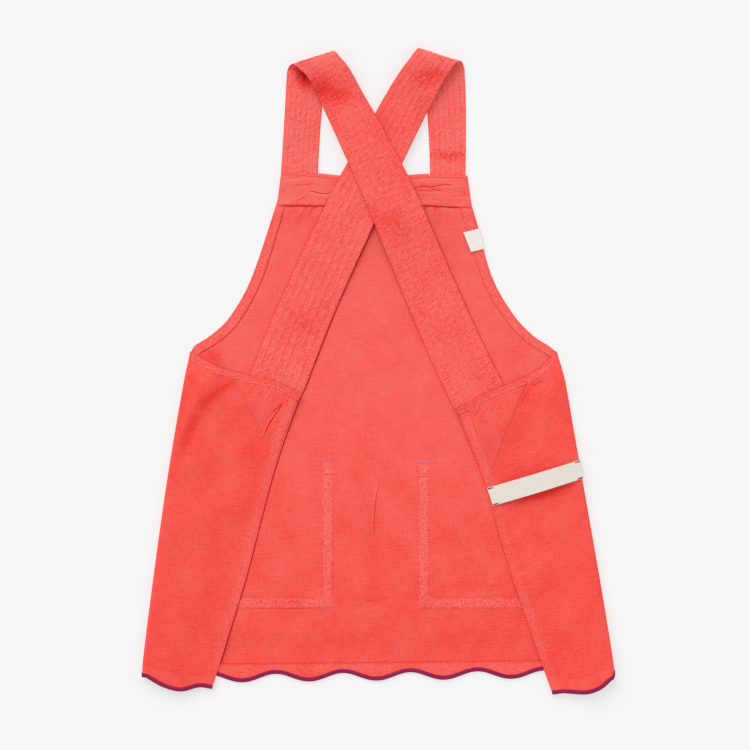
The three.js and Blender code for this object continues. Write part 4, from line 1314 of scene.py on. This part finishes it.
def make_strap(side, name):
    points, flat, normals, seam = strap_points(side)

    def lay(across, up):
        row, column = np.rint(up * STRAP_ROWS).astype(int), np.rint(across * STRAP_CELLS).astype(int)
        places, sewn = points[row, column], seam[row, column]
        # Painted light on a strap: highlight and shade behind the shoulder, a painted highlight on the right
        # strap's inner rim, and painted shade in slack places
        back = BACK_TONE[side] + swell(*places[:, :2].T, SHOULDER_LIGHT_AND_SHADE[side])
        light = np.where(flat[row, column, 1] < SHOULDER_AT, 0.05, back)
        if side == RIGHT:
            light = light + (RIM_HIGHLIGHT - 0.5 * EDGE_SHADE) * (column == 0)
        return places, flat[row, column], light - 0.95 * sewn[:, 2], sewn

    bm = bmesh.new()
    weights = bm.verts.layers.deform.verify()
    made = add_grid(bm, STRAP_CELLS, STRAP_ROWS, lay, 0.5 * EDGE_SHADE)
    lofts = quilt_loft(STRAP_SHARES)
    lofts[[0, -1]] = 0.25
    for index, vert in enumerate(made):
        vert[weights][0] = float(lofts[index % (STRAP_CELLS + 1)])
    strap = finish_sheet(f"{name}_quilt", bm, QUILT_THICK, quilt, [name], "quilted_cloth")
    strap.vertex_groups.new(name="loft")
    wall = strap.modifiers["thickness"]
    wall.vertex_group, wall.thickness_vertex_group = "loft", 0.5
    return strap, points, normals


straps = {side: make_strap(side, f"strap_{name}") for side, name in SIDES.items()}

# %% [markdown]
# ## Corner patches
# Three-cornered patches strengthen the wings where the straps are caught. A patch could be cut from a square
# and shrunk onto the wing, but the wing's own function already says where each of its points lies.

# %% Corner patches
# Where a patch starts along the wing's top and ends down its inner edge, by share of both
PATCHES = {LEFT: (0.39, 0.235), RIGHT: (0.30, 0.268)}
# Its lower point and its inner side across the wing, and its top side down the wing
PATCH_POINT, PATCH_INNER, PATCH_TOP = 0.965, 0.985, 0.015
PATCH_CELLS = (44, 56)


def wing_at(side, s, t):
    return wing(side, s, lerp(CORNER_Y, HEM_Y, t))


def lay_patch(side):
    top_from, inner_to = PATCHES[side]

    def lay(across, up):
        down = 1 - edged(up, PATCH_CELLS[1], 100, 0.8)
        border = lerp(top_from, PATCH_POINT, down)
        s = lerp(border, PATCH_INNER, edged(across, PATCH_CELLS[0], 80, 0.8))
        t = lerp(PATCH_TOP, inner_to, down)
        places = wing_at(side, s, t)
        from_slant = (s - border) * 0.85 * wing_width(side, t)
        places[:, 2] += lerp(0.5, 0.75, smooth(from_slant, 0, 3))
        seen = places[:, :2].T
        away = (from_slant - 4.5) / 2.8
        slant = table(places[:, 1], away, 0.45 * (1 - smooth(np.abs(away), 1.4, 2.2)))
        seam = stronger(slant, wing_seam(side, s, t, *seen))
        # The patch is painted a little paler than the wing, as painted light on doubled cloth
        tone = wing_tone(side, s, t, *seen) + 0.14
        return places, table(300 * s, 450 * t), tone, seam, crease_lines(*seen, WING_CREASE_SHADE[side])

    return lay


# A patch's border gets a little painted shade
for side, name in SIDES.items():
    node = f"corner_patch_{name}"
    grid_sheet(
        f"{node}_cloth", PATCH_CELLS, lay_patch(side), -0.3, 0.6, coral, [node], "coral_cloth"
    )

# %% [markdown]
# ## Pockets
# The patch pockets lie under the front, flat on the surface. Each is a grid with its two lower corners cut off
# by a plane, which leaves clean slanting edges whatever the size of the cells.

# %% Pockets
POCKET_CELLS = 40


def lay_pocket(side):
    left = POCKET_LEFT_X[side]

    def lay(across, up):
        x = left + POCKET_WIDTH * edged(across, POCKET_CELLS, POCKET_WIDTH)
        y = POCKET_TOP - POCKET_HEIGHT * (1 - edged(up, POCKET_CELLS, POCKET_HEIGHT))
        sides, bottom, _ = pocket_depth(x, y, side)
        z = 0.52 + 0.12 * (1 + waves(x, y, 60, 91 + side)) * smooth(np.minimum(sides, bottom), 0, 12)
        return table(x, y, z), table(x, y), 0.1

    return lay


for side, name in SIDES.items():
    bm = bmesh.new()
    add_grid(bm, POCKET_CELLS, POCKET_CELLS, lay_pocket(side))
    for corner_x, turn in ((POCKET_LEFT_X[side], -1), (POCKET_LEFT_X[side] + POCKET_WIDTH, 1)):
        bmesh.ops.bisect_plane(
            bm, geom=[*bm.verts, *bm.edges, *bm.faces], clear_outer=True,
            plane_co=Vector((corner_x - turn * POCKET_CORNER, POCKET_LOW, 0)) * MM, plane_no=(turn, -1, 0),
        )
    finish_sheet(f"pocket_{name}_cloth", bm, 0.8, coral, [f"pocket_{name}"], "coral_cloth")

# %% [markdown]
# ## Towel loop
# A length of cream tape is sewn to the right wing at both ends and stands a little proud between them, so that
# a towel can be pushed through. A sine lifts the tape more at its middle than a bent plane's even arc would.

# %% Towel loop
# The tape's width and length, its cells both ways, its rise, and its two ends with both corners of each
LOOP_SIZE, LOOP_CELLS, LOOP_RISE = (25, 136), (12, 60), 7.0
LOOP_ENDS = [((151.9, -163.1), (160.3, -188.3)), ((282.1, -123.2), (286.3, -149.1))]
LOOP_HEIGHTS = [wing_at(RIGHT, np.array([s]), np.array([t]))[0, 2] for s, t in ((0.98, 0.31), (0.0, 0.365))]


def loop_points(share, width_share):
    """The tape runs straight from the wing's inner edge to the side fold and stands off between its ends."""
    ends = [lerp(np.array(high), np.array(low), width_share[:, None]) for high, low in LOOP_ENDS]
    plan = lerp(*ends, share[:, None])
    arch = LOOP_RISE * np.sin(np.pi * np.clip(share, 0, 1)) ** 1.2
    return np.column_stack([plan, lerp(*LOOP_HEIGHTS, smooth(share, 0, 1)) + 1.1 + arch])


def lay_loop(across, up):
    width_share, share = edged(across, LOOP_CELLS[0], LOOP_SIZE[0], 0.6), edged(up, LOOP_CELLS[1], LOOP_SIZE[1])
    flat = table(width_share, share) * LOOP_SIZE
    places = loop_points(share, width_share)
    places[:, 2] += 0.15 * waves(flat[:, 1], flat[:, 0], 20, 95)
    return places, flat, 0.0


loop = grid_sheet("towel_loop_tape", LOOP_CELLS, lay_loop, 0, 1.0, tape, ["towel_loop"], "cream_tape")

# %% [markdown]
# ## Tab
# The tab is a short ribbon folded round the armhole's edge and caught in its facing. Its grid runs along the
# lower leg, round the edge in a half circle and back along the upper leg, so that the ribbon keeps its length.

# %% Tab
TAB_LEG, TAB_SLANT, TAB_HALF, TAB_MIDDLE = 22.0, 3.8, 2.1, 2.6
TAB_CELLS, TAB_WIDTH = (40, 16), 30


def lay_tab(across, up):
    y = np.array([TAB_LOW, TAB_HIGH])
    ends = table(edge_x(y, RIGHT), y)
    along = unit(ends[1] - ends[0])
    inward = np.array([-along[1], along[0]])
    share = edged(up, TAB_CELLS[1], TAB_WIDTH, 0.6)
    bend = np.pi * TAB_HALF
    travel = (edged(across, TAB_CELLS[0], 2 * TAB_LEG + bend, 0.6) - 0.5) * (2 * TAB_LEG + bend)
    turn = np.clip(travel / TAB_HALF, -np.pi / 2, np.pi / 2)
    leg = np.maximum(np.abs(travel) - bend / 2, 0) / TAB_LEG
    into = leg * (TAB_LEG - TAB_SLANT * (1 - share)) - TAB_HALF * np.cos(turn)
    curl = 0.2 * waves(travel, share * 20, 14, 97) * (np.abs(travel) / TAB_LEG)
    z = TAB_MIDDLE + TAB_HALF * np.sin(turn) + curl
    plan = ends[0] + (ends[1] - ends[0]) * share[:, None] + inward * into[:, None]
    places = np.column_stack([plan, np.maximum(z, 0.4)])
    return places, table(travel, share * TAB_WIDTH), 0.0


tab = grid_sheet("edge_tab_ribbon", TAB_CELLS, lay_tab, 0, 0.45, tab_finish, ["edge_tab"], "cream_tab")

# %% [markdown]
# ## Stitches
# Most seams show their thread. A stitch is a grain of rice: a small icosphere drawn out along the seam. Rows of
# them could be instances on curves, but the part's pieces are meshes, so they are set at an even pitch along
# lines on the cloth and joined into one mesh for each kind of seam.

# %% Stitches
# A stitch's length, width and height, and the pitch of a row
THREAD = (2.5, 0.6, 0.4)
PITCH = 4.0
# How far above the middle of one cloth, and of a wing with its patch, a stitch lies
ON_CLOTH, ON_PATCH = 0.55, 1.15


def even_places(line, pitch):
    """Even lengths along a line, the places there, and the way along it."""
    length = run_lengths(line)
    at = np.arange(pitch / 2, length[-1], pitch)
    places, ahead, behind = (along_line(at + step, length, line) for step in (0, 0.5, -0.5))
    return at, places, unit(ahead - behind)


def sew(name, lines, material, size=THREAD, pitch=PITCH, across=False):
    """Rows of stitches along lines, each with the way up from the cloth at its points."""
    joined, row_mesh, count = bmesh.new(), bpy.data.meshes.new("row"), 0
    for line, ups in lines:
        at, places, along = even_places(line, pitch)
        up = along_line(at, run_lengths(line), np.broadcast_to(ups, line.shape))
        side = unit(np.cross(up, along))
        first, second = (side, along) if across else (along, side)
        frames = np.tile(np.eye(4), (len(at), 1, 1))
        frames[:, :3, :3] = table(first, second, np.cross(first, second)) * np.array(size) * MM
        frames[:, :3, 3] = places * MM
        row = bmesh.new()
        for stitch in frames:
            bmesh.ops.create_icosphere(row, subdivisions=1, radius=0.5, matrix=Matrix(stitch))
        row.to_mesh(row_mesh)
        row.free()
        joined.from_mesh(row_mesh)
        count += len(frames)
    bpy.data.meshes.remove(row_mesh)
    stitches = new_object(name, joined, material)
    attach(stitches, "root")
    print(f"{name}: {count} stitches")


print("a stitch, in mm:", THREAD, "and the pitch of a row:", PITCH)

# %% [markdown]
# ## Stitches on the wings
# Two rows run along each wing's inner edge, two along its top, two along its patch and one along its hem. Each
# is a line over the wing by shares of its width and length, so it follows the wing wherever that is moved.

# %% Stitches on the wings
UP = np.array([0.0, 0.0, 1.0])


def raised(points, height):
    return points + UP * height


def wing_line(side, s, t, height):
    s, t = np.broadcast_arrays(s, t)
    return raised(wing_at(side, s.astype(float), t.astype(float)), height), UP


def wing_hem_row(side, s):
    """How far down a wing (0 to 1) the fold line of its hem lies."""
    t = np.full_like(s, 0.95)
    for _ in range(6):
        x, y, _ = wing_at(side, s, t).T
        t = t + (y - curve(WING_HEM[side], x)) / WING_LENGTH
    return t


# Shares along a row, close enough for its bends
fine = np.linspace(0, 1, 260)
wing_rows = []
for side in SIDES:
    for inset in (3.0, 11.5):
        s = 1 - inset / wing_width(side, fine)
        wing_rows.append(wing_line(side, s, lerp(0.006, 0.995, fine), ON_CLOTH))
    top_from, inner_to = PATCHES[side]
    for inset in (3.5, 9.5):
        s = lerp(0.06, PATCH_INNER, fine)
        height = np.where(s > top_from, ON_PATCH, ON_CLOTH)[:, None]
        wing_rows.append(wing_line(side, s, inset / WING_LENGTH, height))
    s = lerp(0.06, 0.9, fine)
    wing_rows.append(wing_line(side, s, wing_hem_row(side, s) + 2.4 / WING_LENGTH, ON_CLOTH))
    for inset in (0.012, 0.05):
        slant = lerp(top_from, PATCH_POINT, fine) + inset * (1 - fine)
        wing_rows.append(wing_line(side, slant, lerp(0.03, inner_to - 0.01, fine), ON_PATCH))
sew("wing_stitches", wing_rows, coral_thread)

# %% [markdown]
# ## Stitches on the front
# The pockets' double seams come through the front, and the facings are sewn down along both of their edges. The
# rows follow the front's own height, so that no stitch sinks into a swell or floats above a valley.

# %% Stitches on the front
front_rows = []


def front_line(x, y, height):
    x, y = (part.astype(float) for part in np.broadcast_arrays(x, y))
    return table(x, y, front_height(x, y) + height), UP


for side in SIDES:
    left = POCKET_LEFT_X[side]
    inner, outer = (left + POCKET_WIDTH, left) if side == LEFT else (left, left + POCKET_WIDTH)
    for inset in (SEAM_MIDDLE - SEAM_HALF, SEAM_MIDDLE + SEAM_HALF):
        bottom = POCKET_LOW + inset - SEAM_DROP
        up_side = lerp(bottom, POCKET_TOP, fine)
        front_rows.append(front_line(inner + side * inset, up_side, 0.5))
        front_rows.append(front_line(outer - side * inset, up_side, 0.5))
        front_rows.append(front_line(lerp(left + inset, left + POCKET_WIDTH - inset, fine), bottom, 0.5))
    front_rows.append(front_line(inner + side * lerp(2.0, 17.0, fine), -146.0, 0.5))
    at = lerp(CORNER_Y - 4, BAND_LOW - 3, fine)
    for inward in (0.16, 0.84):
        front_rows.append(front_line(*armhole_line(at, inward * curve(FACING[side], at), side), 1.4))
x = hem_x(fine, 4)
front_rows.append(front_line(x, hem_facing_top(x) - 2.0, 1.55))
sew("front_stitches", front_rows, coral_thread)

# %% [markdown]
# ## Stitches on the band, the straps and the binding
# The band has one row along its foot and one below its top. The straps' rows run near both faces from the
# band to the wing, pulled in so far that only the grooves of the finish show them. The binding's row holds
# both sides of the tape round the whole hem.

# %% Stitches on the band, the straps and the binding
STRAP_THREAD, STRAP_PITCH = (2.2, 0.55, 0.4), 3.4
BINDING_THREAD, BINDING_PITCH = (1.9, 0.5, 0.4), 2.6
band_rows = []
for rise, line, height in ((0.05, BAND_FOOT, 3.0), (0.87, BAND_TOP, -TOP_ROW)):
    x = lerp(lerp(*BAND_ENDS[LEFT], rise), lerp(*BAND_ENDS[RIGHT], rise), np.linspace(0.02, 0.98, 200))
    y = curve(line, x) + height
    z = BAND_HEIGHT / 2 + band_half(y - curve(BAND_FOOT, x)) + band_relief(x, y) + 0.42
    band_rows.append((table(x, y, z), UP))
sew("band_stitches", band_rows, coral_thread)

for side, name in SIDES.items():
    _, points, normals = straps[side]
    rows = []
    for row in range(1, QUILT_STRIPS):
        column = round(row / QUILT_STRIPS * STRAP_CELLS)
        for face, height in ((1, 0.5), (-1, 0.36)):
            up = face * normals[12:-2, column]
            rows.append((points[12:-2, column] + height * up, up))
    sew(f"strap_{name}_stitches", rows, coral_thread, STRAP_THREAD, STRAP_PITCH)

across = np.linspace(0.004, 0.996, 700)
edge, inner = hem_edge(across, 0.0), hem_edge(across, 4.0)
out, along = unit(edge - inner), unit(np.gradient(edge, axis=0))
up = np.cross(out, along)
rows = [(edge - 2.6 * out + 1.35 * face * up, face * up) for face in (1, -1)]
sew("binding_stitches", rows, plum_thread, BINDING_THREAD, BINDING_PITCH)

# %% [markdown]
# ## Bar tacks
# Plum bar tacks hold the pocket corners and the ends of the towel loop. A bar tack is a tight zigzag, so it
# is sewn here with short stitches that lie across the bar, closer together than they are wide.

# %% Bar tacks
POCKET_TACK, LOOP_TACK, TACK_PITCH = (1.7, 0.75, 0.6), (2.3, 0.85, 0.8), 0.62
tacks = []
for start, end, y in ((-79.0, -62.5, -126.0), (52.5, 68.0, -128.0)):
    tacks.append(front_line(lerp(start, end, fine), y, 0.5))
sew("bar_tacks", tacks, faded_thread, POCKET_TACK, TACK_PITCH, across=True)
loop_tacks = []
for low, high in ((0.006, 0.062), (0.938, 0.994)):
    share = np.linspace(low, high, 40)
    for edge in (0.06, 0.94):
        loop_tacks.append((raised(loop_points(share, np.full(40, edge)), 0.65), UP))
sew("loop_tacks", loop_tacks, plum_thread, LOOP_TACK, TACK_PITCH, across=True)

# %% [markdown]

# %% [markdown]
# ## Floor, light and camera
# The smock lies on a pale, even surface under broad soft light from the upper left. Studios light such a
# surface on its own, so that it takes little shadow and little of the cloth's colour: here it gives out half of
# its light itself. The camera looks straight down, with the smock nearly filling a square frame 1.05 m wide.

# %% Floor, light and camera
WHITE = (1, 1, 1, 1)
bm = bmesh.new()
bmesh.ops.create_grid(bm, x_segments=1, y_segments=1, size=30.0)
floor_finish, _, _ = new_finish(
    "pale_floor", Roughness=0.8, Base_Color=(0.4, 0.4, 0.4, 1), Specular_IOR_Level=0.1,
    Emission_Color=WHITE, Emission_Strength=0.525,
)
floor = new_object("floor", bm, floor_finish)

scene = bpy.context.scene
scene.view_settings.view_transform = "Standard"
world = bpy.data.worlds.new("studio")
scene.world = world
world.use_nodes = True
sky = world.node_tree.nodes["Background"].inputs
sky["Color"].default_value, sky["Strength"].default_value = WHITE, 0.75

lamp = bpy.data.lights.new("key", "SUN")
lamp.angle, lamp.energy = 0.7, 1.4
key = bpy.data.objects.new("key", lamp)
key.rotation_euler = Vector((0.45, -1.0, -0.75)).to_track_quat("-Z", "Y").to_euler()
bpy.context.collection.objects.link(key)

# In metres: the width of the view, the camera's height above the cloth, and the cloth's height and centre
VIEW_WIDTH, CAMERA_HEIGHT, CLOTH_HEIGHT, CENTRE = 1.05, 2.6, 0.004, (-0.0049, -0.0049)
camera_data = bpy.data.cameras.new("camera")
camera_data.sensor_width = 36
camera_data.lens = camera_data.sensor_width * CAMERA_HEIGHT / VIEW_WIDTH
camera = bpy.data.objects.new("camera", camera_data)
camera.location = (*CENTRE, CAMERA_HEIGHT + CLOTH_HEIGHT)
bpy.context.collection.objects.link(camera)
scene.camera = camera
print("lens, in mm:", round(camera_data.lens, 1))

# %% [markdown]
